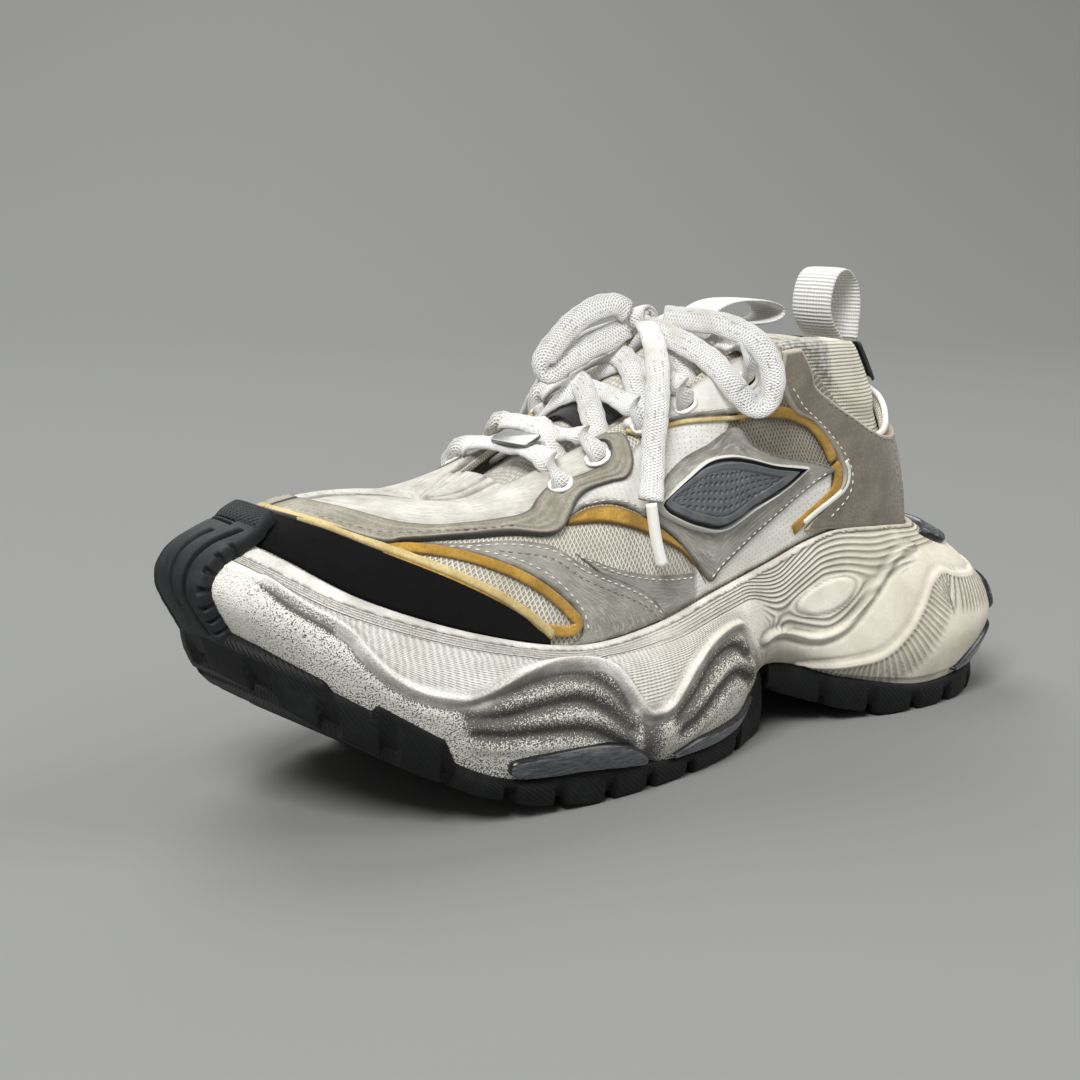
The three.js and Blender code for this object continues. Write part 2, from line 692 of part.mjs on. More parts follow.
function bumper() {
  const ACROSS = 6;
  const rows = BUMPER_RUNGS.map((rung, k) => {
    const narrow = 1 - 0.12 * Math.max(0, k - BUMPER_RUNGS.length + 3);
    const line = (out) =>
      [...Array(ACROSS + 1).keys()].map((i) => {
        const y = BUMPER.middle + (i / ACROSS - 0.5) * BUMPER.width * narrow;
        return bumperPoint(rung, y, out);
      });
    return [...line(BUMPER.clear), ...line(BUMPER.clear + BUMPER.thickness).reverse()];
  });
  return carry(rows, false);
}

function outsoleForefoot() {
  const profile = sideProfile(treadLine(GROUND_FRONT, FRONT_GROOVES), 134, 352);
  const cutBody = common(rubberBody(), profile);
  return join(cut(cutBody, channel(146, 236, -12, 7)), bumper());
}
piece("outsole_forefoot", outsoleForefoot(), 0x16181a, 0.75);

function outsoleHeel() {
  const profile = sideProfile(treadLine(GROUND_HEEL, HEEL_GROOVES), -8, 130);
  return cut(common(rubberBody(), profile), channel(20, 80, 0, 7));
}
piece("outsole_heel", outsoleHeel(), 0x16181a, 0.75);

// Padded knit collar inside the shell, rising above it behind the ankle.

const COLLAR_REACH = 4.7; // stations each side of the heel
const COLLAR_FOOT = 0.42;
const COLLAR_PAD = 6;

function collarPadding() {
  const rows = [];
  const steps = 2 * Math.ceil(COLLAR_REACH * COLUMNS_PER_STATION);
  for (let i = 0; i <= steps; i++) {
    const s = COLLAR_REACH * ((2 * i) / steps - 1);
    const edge = along(edgeRing, s)[0];
    const section = [];
    for (const level of [COLLAR_FOOT, 0.52, 0.62, 0.74, 0.86, 0.95]) {
      const bulge = 1.9 * smooth((level - edge - 0.05) / 0.1);
      section.push(last(s, level, -(WALL + 0.7) + bulge));
    }
    section.push(last(s, 0.995, -(WALL + COLLAR_PAD / 2)));
    for (const level of [0.92, 0.72, 0.52]) section.push(last(s, level, -(WALL + COLLAR_PAD)));
    rows.push(section);
  }
  return carry(rows, false);
}
piece("collar_padding", collarPadding(), 0xe9e4d2, 1);

// Heel tab: a plate on the padding behind the pull loop.
const lastOver = (outline, inner, outer) => plate(last, 14, 1, outline, inner, outer);
const HEEL_TAB = [[-1.5, 0.955], [-1.6, 0.8], [-1.5, 0.755], [0, 0.8], [1.5, 0.755], [1.6, 0.8], [1.5, 0.955]];
piece("heel_tab", lastOver(HEEL_TAB, -0.5, 0.5), 0x0d0d0e, 0.9);

// Tongue: a padded blade under the throat, held by a black keeper strap, with a loop at its top.

const TONGUE = { thickness: 4.5, tuck: 0.94, crown: 16, below: WALL + 0.9, top: 4.9, front: 11.3 };

function tonguePoint(station, across, out) {
  const under = TONGUE.below + 3.5 * smooth((station - 7) / 2.5);
  const outer = last(station, TONGUE.tuck, -(under + out));
  const inner = last(STATIONS - station, TONGUE.tuck, -(under + out));
  const rise = TONGUE.crown * smooth((10.6 - station) / 5.5) - 3;
  const arch = (1 - (2 * across - 1) ** 2) ** 2;
  return add(mix(outer, inner, across), [0, 0, arch * rise]);
}

function tongue() {
  const ACROSS = 8;
  const ROWS = 9;
  const rows = [];
  for (let j = 0; j <= ROWS; j++) {
    const station = TONGUE.top + ((TONGUE.front - TONGUE.top) * j) / ROWS;
    const line = (out) =>
      [...Array(ACROSS + 1).keys()].map((i) => tonguePoint(station, i / ACROSS, out));
    rows.push([...line(0), ...line(TONGUE.thickness).reverse()]);
  }
  return carry(rows, false);
}
piece("tongue", tongue(), 0xd8d5cb, 0.9);

function keeper() {
  const KEEPER = { from: 6.75, to: 7.45, thickness: 1.1, reach: 0.32 };
  const rows = [];
  for (let i = 0; i <= 4; i++) {
    const across = 0.5 + KEEPER.reach * ((2 * i) / 4 - 1);
    const at = (station, lift) => add(tonguePoint(station, across, 0), [0, 0, lift]);
    rows.push([at(KEEPER.from, 0.5), at(KEEPER.to, 0.5), at(KEEPER.to, 1.6), at(KEEPER.from, 1.6)]);
  }
  return carry(rows, false);
}
piece("lace_keeper", keeper(), 0x0e0e0f, 0.9);

const ACROSS_SHOE = () => [0, 1, 0];
const atHeight = (u, z, y = 0) => [LENGTH / 2 - u, y, z];
const TONGUE_LOOP = [
  [135, 148.1], [122, 152.5], [107, 152.5], [98, 150.3], [96.5, 147], [103, 144.7], [117, 144.4],
  [131.6, 144.6],
].map(([u, z]) => atHeight(u, z));
piece("tongue_loop", strap(TONGUE_LOOP, ACROSS_SHOE, 18, 1.3, 10), 0xeceae2, 0.7);

const PULL_LOOP = [
  [65.6, 136], [72, 144], [73, 152], [70, 160], [64.5, 162.5], [59, 158], [57, 149], [58.2, 135.8],
].map(([u, z]) => atHeight(u, z));
piece("pull_loop", strap(PULL_LOOP, ACROSS_SHOE, 20, 1.6, 12), 0xf1f1ee, 0.9);

// Laces: crossings over the tongue, then the knot with its loops and ends.

const LACE = { width: 8, thickness: 2, lift: 3.6 };
const EYELETS = [[8.27, 0.8], [7.6, 0.86], [6.78, 0.91], [6.1, 0.91], [5.1, 0.89]];
const LACE_COLOR = 0xe8e8e4;
const alongThroat = () => [-1, 0, -0.45];
const overTongue = (station, across, lift) => add(tonguePoint(station, across, 0), [0, 0, lift]);

// The lace's way from the throat edge to an eyelet, on the outer side (-1) or the inner side.
function intoEyelet([station, level], side) {
  const over = THICK[1] + 0.8 + LACE.thickness / 2;
  const s = side < 0 ? station : STATIONS - station;
  return [add(shell(s, 0.985, over), [0, 0, 0.8]), shell(s, level, over)];
}

const BAR_CROWN = 3.2;

function laceBar() {
  const outer = intoEyelet(EYELETS[0], -1).reverse();
  const inner = intoEyelet(EYELETS[0], 1);
  const crown = overTongue(EYELETS[0][0], 0.5, LACE.lift + BAR_CROWN);
  return strap([...outer, crown, ...inner], alongThroat, LACE.width, LACE.thickness, 8);
}
piece("lace_bar", laceBar(), LACE_COLOR, 0.95);

// A bare metal tag lies on the first bar.
const TAG = { length: 20, width: 8, thickness: 1.2, lift: LACE.lift + BAR_CROWN + 3.1, tilt: 0.42 };

function laceTag() {
  const [x, y, z] = overTongue(EYELETS[0][0], 0.5, TAG.lift);
  const box = new THREE.BoxGeometry(TAG.width, TAG.length, TAG.thickness);
  return box.rotateY(-TAG.tilt).translate(x, y, z);
}
piece("lace_tag", laceTag(), 0xb4b5b4, 0.4, 0.8);

// A strand comes up beside the tongue at one row and goes down to an eyelet of the next.
const KEEPER_LIFT = 2.4; // the second row runs over the keeper strap

function strand(k, side, lift) {
  const from = EYELETS[k][0] - 0.3;
  const to = EYELETS[k + 1][0];
  const over = k === 1 ? KEEPER_LIFT : 0;
  const at = (share) => 0.5 - side * share;
  const route = [
    overTongue(from, at(0.3), 2.6 + over),
    overTongue((3 * from + to) / 4, at(0.18), lift - 0.2 + over),
    overTongue((from + to) / 2, 0.5, lift + over),
    overTongue((from + 3 * to) / 4, at(-0.22), lift + 0.6 + over),
    ...intoEyelet(EYELETS[k + 1], side),
  ];
  return strap(route, alongThroat, LACE.width, LACE.thickness, 8);
}
for (let k = 0; k + 1 < EYELETS.length; k++) {
  const crossing = join(strand(k, -1, LACE.lift), strand(k, 1, LACE.lift + 0.9));
  piece(`lace_cross_${k + 1}`, crossing, LACE_COLOR, 0.95);
}

// The bow: places are u, y and height. The inner side mirrors the outer side where it can.
const KNOT = { u: 158, z: 148, radius: [6.5, 6.5, 4.6] };
const LOOP_OUTER = [
  [154.4, -6.8, 148.6], [148.5, -18, 148], [144, -27, 146.6], [140, -36.5, 142.5], [137.5, -42, 135.5],
  [137.5, -44.5, 128], [139.5, -44, 121.5], [144, -42, 120], [148, -39, 124], [151, -35.5, 129.5],
];
const LOOP_INNER = [
  [164.6, 0.4, 150.2], [170, 1.3, 153.2], [178, 2.3, 152.2], [186.4, 3.3, 147.9], [194, 4.1, 141.4],
  [199.3, 4.7, 134.8], [197, 4.6, 131.2], [190, 3.6, 134.5], [180, 2.6, 139], [171.5, 1.6, 142], [165.2, 0.8, 145.4],
];
const END = [
  [162.6, -6.7, 147], [169, -18, 142], [175, -27, 133], [180.5, -33, 121], [184.5, -36, 110],
  [188.5, -40, 100], [192.5, -44, 92.5],
];
const AGLET = [[192.9, -44.6, 91.7], [192.3, -46.6, 80], [191, -48.5, 71]];
const placed = (route, side = 1) => route.map(([u, y, z]) => atHeight(u, z, y * side));

function knot() {
  const ball = new THREE.SphereGeometry(1, 10, 7);
  return ball.scale(...KNOT.radius).translate(...atHeight(KNOT.u, KNOT.z));
}
piece("lace_knot", knot(), LACE_COLOR, 0.95);

const BOW_WIDTH = 7;
const flatTowards = (face) => (tangent) => cross(face, tangent);
function bowPiece(name, route, face, side = 1) {
  const shape = strap(placed(route, side), flatTowards(face), BOW_WIDTH, LACE.thickness, 14);
  piece(name, shape, LACE_COLOR, 0.95);
}
bowPiece("lace_loop_outer", LOOP_OUTER, unit([-0.75, -0.6, 0.25]));
bowPiece("lace_loop_inner", LOOP_INNER, unit([-0.25, -0.9, 0.2]));
bowPiece("lace_end_outer", END, unit([-0.45, -0.85, 0.3]));
bowPiece("lace_end_inner", END, unit([-0.45, 0.85, 0.3]), -1);

const AGLET_WIDTH = 3.4;
for (const [name, side] of [["outer", 1], ["inner", -1]]) {
  const tip = strap(placed(AGLET, side), () => [1, 0, 0], AGLET_WIDTH, AGLET_WIDTH, 2);
  piece(`aglet_${name}`, tip, 0xf4f4f2, 0.35);
}

export default group;
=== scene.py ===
import json
import math
import bmesh
import bpy
import numpy as np
from mathutils import Matrix, Vector
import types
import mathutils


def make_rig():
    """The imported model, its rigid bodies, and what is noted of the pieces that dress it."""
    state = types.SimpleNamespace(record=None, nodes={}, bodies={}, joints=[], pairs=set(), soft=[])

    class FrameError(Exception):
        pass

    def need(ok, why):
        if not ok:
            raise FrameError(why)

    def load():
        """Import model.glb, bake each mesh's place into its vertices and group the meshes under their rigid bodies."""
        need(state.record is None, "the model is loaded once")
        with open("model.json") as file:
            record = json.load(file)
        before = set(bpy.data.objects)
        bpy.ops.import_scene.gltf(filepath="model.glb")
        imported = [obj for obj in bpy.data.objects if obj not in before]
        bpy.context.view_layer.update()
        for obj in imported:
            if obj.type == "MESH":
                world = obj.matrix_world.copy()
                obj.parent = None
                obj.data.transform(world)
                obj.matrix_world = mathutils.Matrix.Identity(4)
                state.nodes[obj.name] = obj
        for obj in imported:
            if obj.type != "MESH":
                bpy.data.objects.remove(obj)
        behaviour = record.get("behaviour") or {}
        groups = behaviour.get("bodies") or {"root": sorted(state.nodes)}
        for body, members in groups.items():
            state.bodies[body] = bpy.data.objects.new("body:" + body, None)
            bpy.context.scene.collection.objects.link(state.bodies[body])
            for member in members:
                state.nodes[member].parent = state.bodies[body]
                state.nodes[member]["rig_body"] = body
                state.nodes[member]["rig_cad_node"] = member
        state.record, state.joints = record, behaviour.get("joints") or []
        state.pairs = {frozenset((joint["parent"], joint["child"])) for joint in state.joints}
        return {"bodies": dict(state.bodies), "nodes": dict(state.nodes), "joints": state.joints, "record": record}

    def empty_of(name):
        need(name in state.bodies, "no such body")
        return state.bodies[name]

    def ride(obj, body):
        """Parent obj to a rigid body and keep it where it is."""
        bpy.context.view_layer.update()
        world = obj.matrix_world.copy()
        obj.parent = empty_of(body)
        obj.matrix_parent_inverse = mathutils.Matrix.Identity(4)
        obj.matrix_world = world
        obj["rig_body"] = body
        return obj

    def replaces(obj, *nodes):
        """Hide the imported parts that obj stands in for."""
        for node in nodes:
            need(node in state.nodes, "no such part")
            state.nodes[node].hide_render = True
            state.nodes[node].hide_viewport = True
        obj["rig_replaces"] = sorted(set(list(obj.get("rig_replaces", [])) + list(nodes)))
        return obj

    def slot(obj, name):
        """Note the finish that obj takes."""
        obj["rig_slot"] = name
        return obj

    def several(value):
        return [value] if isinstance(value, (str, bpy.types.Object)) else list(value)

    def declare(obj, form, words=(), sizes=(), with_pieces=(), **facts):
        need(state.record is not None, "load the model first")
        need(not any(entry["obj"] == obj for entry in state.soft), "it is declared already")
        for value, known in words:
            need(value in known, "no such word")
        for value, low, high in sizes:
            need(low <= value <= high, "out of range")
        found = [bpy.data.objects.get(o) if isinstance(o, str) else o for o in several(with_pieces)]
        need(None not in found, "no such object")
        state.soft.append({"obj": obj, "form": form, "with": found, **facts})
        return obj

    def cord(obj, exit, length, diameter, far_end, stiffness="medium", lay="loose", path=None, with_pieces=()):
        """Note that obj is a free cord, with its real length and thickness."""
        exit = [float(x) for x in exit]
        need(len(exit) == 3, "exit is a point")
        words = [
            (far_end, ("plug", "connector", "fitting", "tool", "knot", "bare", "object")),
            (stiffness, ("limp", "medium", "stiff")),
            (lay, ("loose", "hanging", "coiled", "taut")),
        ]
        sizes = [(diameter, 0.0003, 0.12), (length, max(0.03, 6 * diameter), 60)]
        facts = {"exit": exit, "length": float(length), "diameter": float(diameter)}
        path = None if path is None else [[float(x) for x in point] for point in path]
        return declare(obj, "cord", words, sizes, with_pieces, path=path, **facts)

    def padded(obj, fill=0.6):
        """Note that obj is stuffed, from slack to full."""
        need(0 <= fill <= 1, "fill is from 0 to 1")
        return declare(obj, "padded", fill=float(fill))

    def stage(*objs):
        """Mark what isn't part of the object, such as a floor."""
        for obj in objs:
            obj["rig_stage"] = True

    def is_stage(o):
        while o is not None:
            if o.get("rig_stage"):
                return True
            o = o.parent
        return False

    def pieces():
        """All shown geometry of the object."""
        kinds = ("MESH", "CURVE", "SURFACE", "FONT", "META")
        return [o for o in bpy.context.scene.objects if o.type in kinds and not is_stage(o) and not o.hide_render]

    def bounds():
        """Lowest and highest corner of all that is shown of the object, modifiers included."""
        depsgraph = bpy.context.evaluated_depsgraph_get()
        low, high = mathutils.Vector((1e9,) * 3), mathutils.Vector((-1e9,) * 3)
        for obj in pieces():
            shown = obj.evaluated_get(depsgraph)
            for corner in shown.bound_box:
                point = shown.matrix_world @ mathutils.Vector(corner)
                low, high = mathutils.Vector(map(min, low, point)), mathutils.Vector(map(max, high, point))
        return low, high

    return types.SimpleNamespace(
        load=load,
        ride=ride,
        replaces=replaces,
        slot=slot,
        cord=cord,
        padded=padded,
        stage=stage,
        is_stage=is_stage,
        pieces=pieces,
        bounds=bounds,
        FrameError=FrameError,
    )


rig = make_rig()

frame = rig.load()
cad_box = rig.bounds()

# A worn, chunky running sneaker for the left foot, in metres, toe towards -X, outer side towards -Y.
# The shape is read in millimetres along stations: 0 at the heel, 12 at the toe, back to 24 on the
# inner side, and up a wall by level. Pieces follow in the order a maker lays them up.

# View and studio: the photographed angle, a plain pale floor and soft light from large panels.

VIEWPOINT = (-0.430, -0.506, 0.198)
YAW = math.radians(38.2)
DOWN = math.radians(10.9)
camera_data = bpy.data.cameras.new("view")
camera_data.sensor_width = 36
camera_data.lens = 36 * 1900 / 1080
camera = bpy.data.objects.new("view", camera_data)
camera.location = VIEWPOINT
camera.rotation_euler = (math.pi / 2 - DOWN, 0, -YAW)
bpy.context.collection.objects.link(camera)
bpy.context.scene.camera = camera


def linear(code):
    """An sRGB hex colour such as "e8e3d8" as linear red, green, blue and alpha."""
    parts = [int(code[i : i + 2], 16) / 255 for i in (0, 2, 4)]
    return [c / 12.92 if c <= 0.04045 else ((c + 0.055) / 1.055) ** 2.4 for c in parts] + [1]


def put(tree, kind, inputs=(), **settings):
    """Adds a node. inputs pairs a socket with a value, or with the output that feeds it."""
    n = tree.nodes.new(kind)
    for key, value in settings.items():
        setattr(n, key, value)
    for key, value in dict(inputs).items():
        if isinstance(value, bpy.types.NodeSocket):
            tree.links.new(value, n.inputs[key])
        else:
            n.inputs[key].default_value = value
    return n


def finish_called(name, base, roughness, metallic=0.0, **shader):
    """A new material whose shader takes fixed values for what is even all over."""
    mat = bpy.data.materials.new(name)
    mat.use_nodes = True
    mat.diffuse_color = linear(base)
    tree = mat.node_tree
    skin = tree.nodes["Principled BSDF"]
    skin.inputs["Base Color"].default_value = linear(base)
    skin.inputs["Roughness"].default_value = roughness
    skin.inputs["Metallic"].default_value = metallic
    for key, value in shader.items():
        skin.inputs[key.replace("_", " ")].default_value = value
    return mat, tree, skin


def tint(tree, factor, low, high, blend="MIX"):
    """Mixes two colours, each a hex code or an output, by a factor output."""
    ends = [linear(c) if isinstance(c, str) else c for c in (low, high)]
    mixed = put(tree, "ShaderNodeMix", {0: factor, 6: ends[0], 7: ends[1]}, data_type="RGBA",
                blend_type=blend)
    return mixed.outputs[2]


def steps(tree, value, low, high):
    """A value stretched so that low gives 0 and high gives 1, and cut off there."""
    return put(tree, "ShaderNodeMapRange", {0: value, 1: low, 2: high}).outputs[0]


def maths(tree, operation, first, second=0.0, third=0.0):
    return put(tree, "ShaderNodeMath", {0: first, 1: second, 2: third}, operation=operation).outputs[0]


def mark(tree, name):
    """A number from 0 to 1 that the mesh keeps for each vertex, such as dirt."""
    return put(tree, "ShaderNodeAttribute", attribute_name=name).outputs["Fac"]


def own_map(tree, angle=0.0, scale=(1, 1, 1)):
    """The piece's own flat map in centimetres, turned and scaled."""
    flat = put(tree, "ShaderNodeUVMap", uv_map="map").outputs[0]
    return put(tree, "ShaderNodeMapping", {0: flat, 2: (0, 0, angle), 3: scale}).outputs[0]


def waves(tree, where, scale, distortion=0.0, detail=2.0, along_axis="X"):
    """Even soft stripes on a map, as in a weave or a rib."""
    pattern = {0: where, "Scale": scale, "Distortion": distortion, "Detail": detail}
    return put(tree, "ShaderNodeTexWave", pattern, bands_direction=along_axis).outputs[1]


def crossed(tree, angle, operation, *stripes):
    """Two sets of stripes that lean by an angle to either side, brought together."""
    leaning = [waves(tree, own_map(tree, turn), *stripes) for turn in (angle, -angle)]
    return maths(tree, operation, *leaning)


def dots(tree, where, scale, randomness=1.0):
    """Distance from the nearest of many scattered or even spots on a map."""
    pattern = {0: where, "Scale": scale, "Randomness": randomness}
    return put(tree, "ShaderNodeTexVoronoi", pattern).outputs[0]


def paint(tree, skin, colour):
    tree.links.new(colour, skin.inputs["Base Color"])


def gloss_from(tree, skin, value, low, high, smoothest, roughest):
    """Roughness between two values as a pattern goes from low to high."""
    stretched = put(tree, "ShaderNodeMapRange", {0: value, 1: low, 2: high, 3: smoothest, 4: roughest})
    tree.links.new(stretched.outputs[0], skin.inputs["Roughness"])


def speckle(tree, size_mm, detail=3.0, stretch=(1, 1, 1), rough=0.55):
    """Noise with patches of about that size, on the piece's own place in the shoe."""
    place = put(tree, "ShaderNodeTexCoord").outputs["Object"]
    moved = put(tree, "ShaderNodeMapping", {0: place, 3: stretch}).outputs[0]
    pattern = {0: moved, "Scale": 1000 / size_mm, "Detail": detail, "Roughness": rough}
    return put(tree, "ShaderNodeTexNoise", pattern).outputs[0]


def relief(tree, skin, height, depth_mm, strength=1.0):
    """Bump from a height output, on top of any bump the shader already has."""
    below = skin.inputs["Normal"].links
    parts = {"Strength": strength, "Distance": depth_mm / 1000, "Height": height}
    if below:
        parts["Normal"] = below[0].from_socket
    bump = put(tree, "ShaderNodeBump", parts)
    tree.links.new(bump.outputs[0], skin.inputs["Normal"])


# The backdrop is one grey sheet: flat under the shoe and curved up behind it.
floor_finish, _, _ = finish_called("painted_studio_floor", "818280", 0.9)
floor_mesh = bmesh.new()
bmesh.ops.create_grid(floor_mesh, x_segments=1, y_segments=160, size=6)
bmesh.ops.rotate(floor_mesh, cent=(0, 0, 0), matrix=Matrix.Rotation(-YAW, 3, "Z"), verts=floor_mesh.verts)
AHEAD = Vector((math.sin(YAW), math.cos(YAW), 0))
BEND_AT, BEND_RADIUS = 1.6, 1.4
for vert in floor_mesh.verts:
    past = vert.co.dot(AHEAD) - BEND_AT
    if past > 0:
        angle = min(past / BEND_RADIUS, math.pi / 2)
        rise = BEND_RADIUS * (1 - math.cos(angle)) + max(0, past - BEND_RADIUS * math.pi / 2)
        vert.co += AHEAD * (BEND_RADIUS * math.sin(angle) - past) + Vector((0, 0, rise))
floor_data = bpy.data.meshes.new("studio_floor")
floor_mesh.to_mesh(floor_data)
floor_data.polygons.foreach_set("use_smooth", [True] * len(floor_data.polygons))
floor = bpy.data.objects.new("studio_floor", floor_data)
floor_data.materials.append(floor_finish)
bpy.context.collection.objects.link(floor)
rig.stage(floor)

world = bpy.data.worlds.new("studio")
world.use_nodes = True
world.node_tree.nodes["Background"].inputs[0].default_value = linear("c9cac8")
world.node_tree.nodes["Background"].inputs[1].default_value = 0.45
bpy.context.scene.world = world
bpy.context.scene.view_settings.view_transform = "Standard"
for place, size, power, aim in (
    ((-1.7, -1.1, 2.4), 1.2, 98, (0, 0, 0.05)),
    ((1.7, -1.3, 1.9), 1.6, 28, (0, 0, 0.08)),
    ((0.4, 2.0, 2.4), 2.0, 62, (0, 0, 0.1)),
):
    panel_light = bpy.data.lights.new("soft_panel", "AREA")
    panel_light.size = size
    panel_light.energy = power
    lamp = bpy.data.objects.new("soft_panel", panel_light)
    lamp.location = place
    lamp.rotation_euler = (Vector(aim) - Vector(place)).to_track_quat("-Z", "Y").to_euler()
    bpy.context.collection.objects.link(lamp)

# The bow: one flat lace of white braided polyester with grey flecks, tied over the tongue.
# Two loops and two ends leave the knot; each end is bound in a clear plastic tip.

HALF = 172.5  # half of the sole's length


def u(route, side=1):
    """Places given as distance from the sole's rear, sideways place and height, as points in mm."""
    return np.array([(HALF - a, b * side, c) for a, b, c in route], float)


def through(points, count):
    """Evenly spaced points on the smooth open line through these."""
    ends = np.vstack([2 * points[0] - points[1], points, 2 * points[-1] - points[-2]])
    t = np.linspace(0, len(points) - 1, 60 * len(points))
    i = np.minimum(t.astype(int), len(points) - 2)
    f = (t - i)[:, None]
    a, b, c, d = (ends[i + k] for k in range(4))
    line = 0.5 * (2 * b + (c - a) * f + (2 * a - 5 * b + 4 * c - d) * f**2 + (3 * b - a - 3 * c + d) * f**3)
    run = np.concatenate([[0], np.cumsum(np.linalg.norm(np.diff(line, axis=0), axis=1))])
    at = np.linspace(0, run[-1], count)
    return np.stack([np.interp(at, run, line[:, k]) for k in range(line.shape[1])], 1), run[-1]


def unit(v):
    return v / (np.linalg.norm(v, axis=-1, keepdims=True) + 1e-12)


def grid(columns, rows):
    """A flat grid and the places of its vertices, from 0 to 1 each way, which become its map."""
    bm = bmesh.new()
    bmesh.ops.create_grid(bm, x_segments=columns, y_segments=rows, size=0.5)
    bmesh.ops.translate(bm, vec=(0.5, 0.5, 0), verts=bm.verts)
    flat = np.array([v.co[:2] for v in bm.verts])
    return bm, flat[:, 0], flat[:, 1]


def nth(place, count):
    """The number of the column or row at each place from 0 to 1."""
    return np.rint(place * count).astype(int)


def lay(bm, points, across_mm=1.0, along_mm=1.0, **marks):
    """Moves each vertex to its point in mm. The old grid place, in mm, is kept as the map, and
    marks are numbers from 0 to 1 for each vertex that the finish reads, such as dirt."""
    sheet_map = bm.loops.layers.uv.new("map")
    for face in bm.faces:
        for loop in face.loops:
            loop[sheet_map].uv = (loop.vert.co.x * across_mm / 10, loop.vert.co.y * along_mm / 10)
    layers = {key: bm.verts.layers.float.new(key) for key in marks}
    for k, vert in enumerate(bm.verts):
        vert.co = points[k] / 1000
        for key, layer in layers.items():
            vert[layer] = float(marks[key][k])


def piece(name, bm, finish, slot, node=(), weld=0.02):
    """Makes the mesh an object in a material slot, standing for its CAD nodes."""
    bmesh.ops.remove_doubles(bm, verts=bm.verts, dist=weld / 1000)
    bmesh.ops.recalc_face_normals(bm, faces=bm.faces)
    data = bpy.data.meshes.new(name)
    bm.to_mesh(data)
    bm.free()
    data.polygons.foreach_set("use_smooth", [True] * len(data.polygons))
    data.materials.append(finish)
    made = bpy.data.objects.new(name, data)
    bpy.context.collection.objects.link(made)
    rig.ride(made, "root")
    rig.slot(made, slot)
    if node:
        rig.replaces(made, *node)
    return made


def ribbon(route, face, width, thick, pitch=1.3, pucker=0.0):
    """A flat lace or band along a route in mm, its flat side turned to face at every point.
    Returns the mesh, the route's even points and its length. pucker makes the edges wander."""
    length = through(route, 10)[1]
    count = max(6, int(length / pitch))
    line, length = through(route, count + 1)
    if np.ndim(face) == 1:
        turned = np.vstack([face] * len(line))
    else:
        turned = through(np.array(face, float), count + 1)[0]
    ahead = unit(np.gradient(line, axis=0))
    across = unit(np.cross(ahead, turned))
    up = np.cross(across, ahead)
    around = 24
    bm, t, a = grid(count, around)
    k = nth(t, count)
    angle = 2 * math.pi * a
    wander = 1 + pucker * np.sin(k * pitch * 0.9) * np.sin(k * pitch * 0.37 + 1)
    flat = np.sign(np.cos(angle)) * np.abs(np.cos(angle)) ** 0.6 * width / 2 * wander
    lift = np.sign(np.sin(angle)) * np.abs(np.sin(angle)) ** 0.8 * thick / 2
    points = line[k] + across[k] * flat[:, None] + up[k] * lift[:, None]
    lay(bm, points, length, 2 * (width + thick))
    bmesh.ops.remove_doubles(bm, verts=bm.verts, dist=2e-5)
    bmesh.ops.holes_fill(bm, edges=bm.edges, sides=around + 2)
    return bm, line, length


# Braided polyester lace: matt, a herringbone of fine strands with dashes of grey thread.
lace_cloth, tree, skin = finish_called("braided_polyester_lace", "efeeea", 0.85, Sheen_Weight=0.3)
braid = crossed(tree, 0.75, "MAXIMUM", 3.8, 0.8)
worn = speckle(tree, 9, 4)
fleck_map = own_map(tree, 0, (1.6, 13, 1))
fleck = put(tree, "ShaderNodeTexNoise", {0: fleck_map, "Scale": 1.6, "Detail": 2}).outputs[0]
white = tint(tree, steps(tree, braid, 0.5, 0.9), "dad9d5", "faf9f7")
grey = tint(tree, steps(tree, fleck, 0.60, 0.66), white, "b9b9b5")
paint(tree, skin, tint(tree, steps(tree, worn, 0.5, 0.78), grey, "d8d4c9"))
relief(tree, skin, braid, 0.45, 0.9)

LACE_WIDTH = 8.6
LACE_THICK = 1.9
LOOP_OUTER = u([
    (154.4, -6.8, 148.6), (148.5, -18, 148), (144, -27, 146.6), (140, -36.5, 142.5), (137.5, -42, 135.5),
    (137.5, -44.5, 128), (139.5, -44, 121.5), (144, -42, 120), (148, -39, 124), (151, -35.5, 129.5),
])
LOOP_INNER = u([
    (164.6, 0.4, 150.2), (170, 1.3, 153.2), (178, 2.3, 152.2), (186.4, 3.3, 147.9), (194, 4.1, 141.4),
    (199.3, 4.7, 134.8), (197, 4.6, 131.2), (190, 3.6, 134.5), (180, 2.6, 139), (171.5, 1.6, 142),
    (165.2, 0.8, 145.4),
])
LACE_END = [
    (162.6, -6.7, 147), (169, -18, 142), (175, -27, 133), (180.5, -33, 121), (184.5, -36, 110),
    (188.5, -40, 100), (192.5, -44, 92.5),
]
LACE_TIP = [(192.9, -44.6, 91.7), (192.3, -46.6, 80), (191, -48.5, 71)]

# Clear plastic tips over the lace ends: hard, smooth and slightly yellowed.
tip_plastic, _, _ = finish_called("clear_acetate_tip", "f1f0ea", 0.28, Coat_Weight=0.4)

bows = {}
for name, route, face in (
    ("lace_loop_outer", LOOP_OUTER, (-0.75, -0.6, 0.25)),
    ("lace_loop_inner", LOOP_INNER, (-0.25, -0.9, 0.2)),
    ("lace_end_outer", u(LACE_END), (-0.45, -0.85, 0.3)),
    ("lace_end_inner", u(LACE_END, -1), (-0.45, 0.85, 0.3)),
):
    mesh, line, length = ribbon(route, unit(np.array(face)), LACE_WIDTH, LACE_THICK, pucker=0.05)
    made = piece("bow_" + name, mesh, lace_cloth, "lace", [name])
    bows[name] = (made, line / 1000, length / 1000)

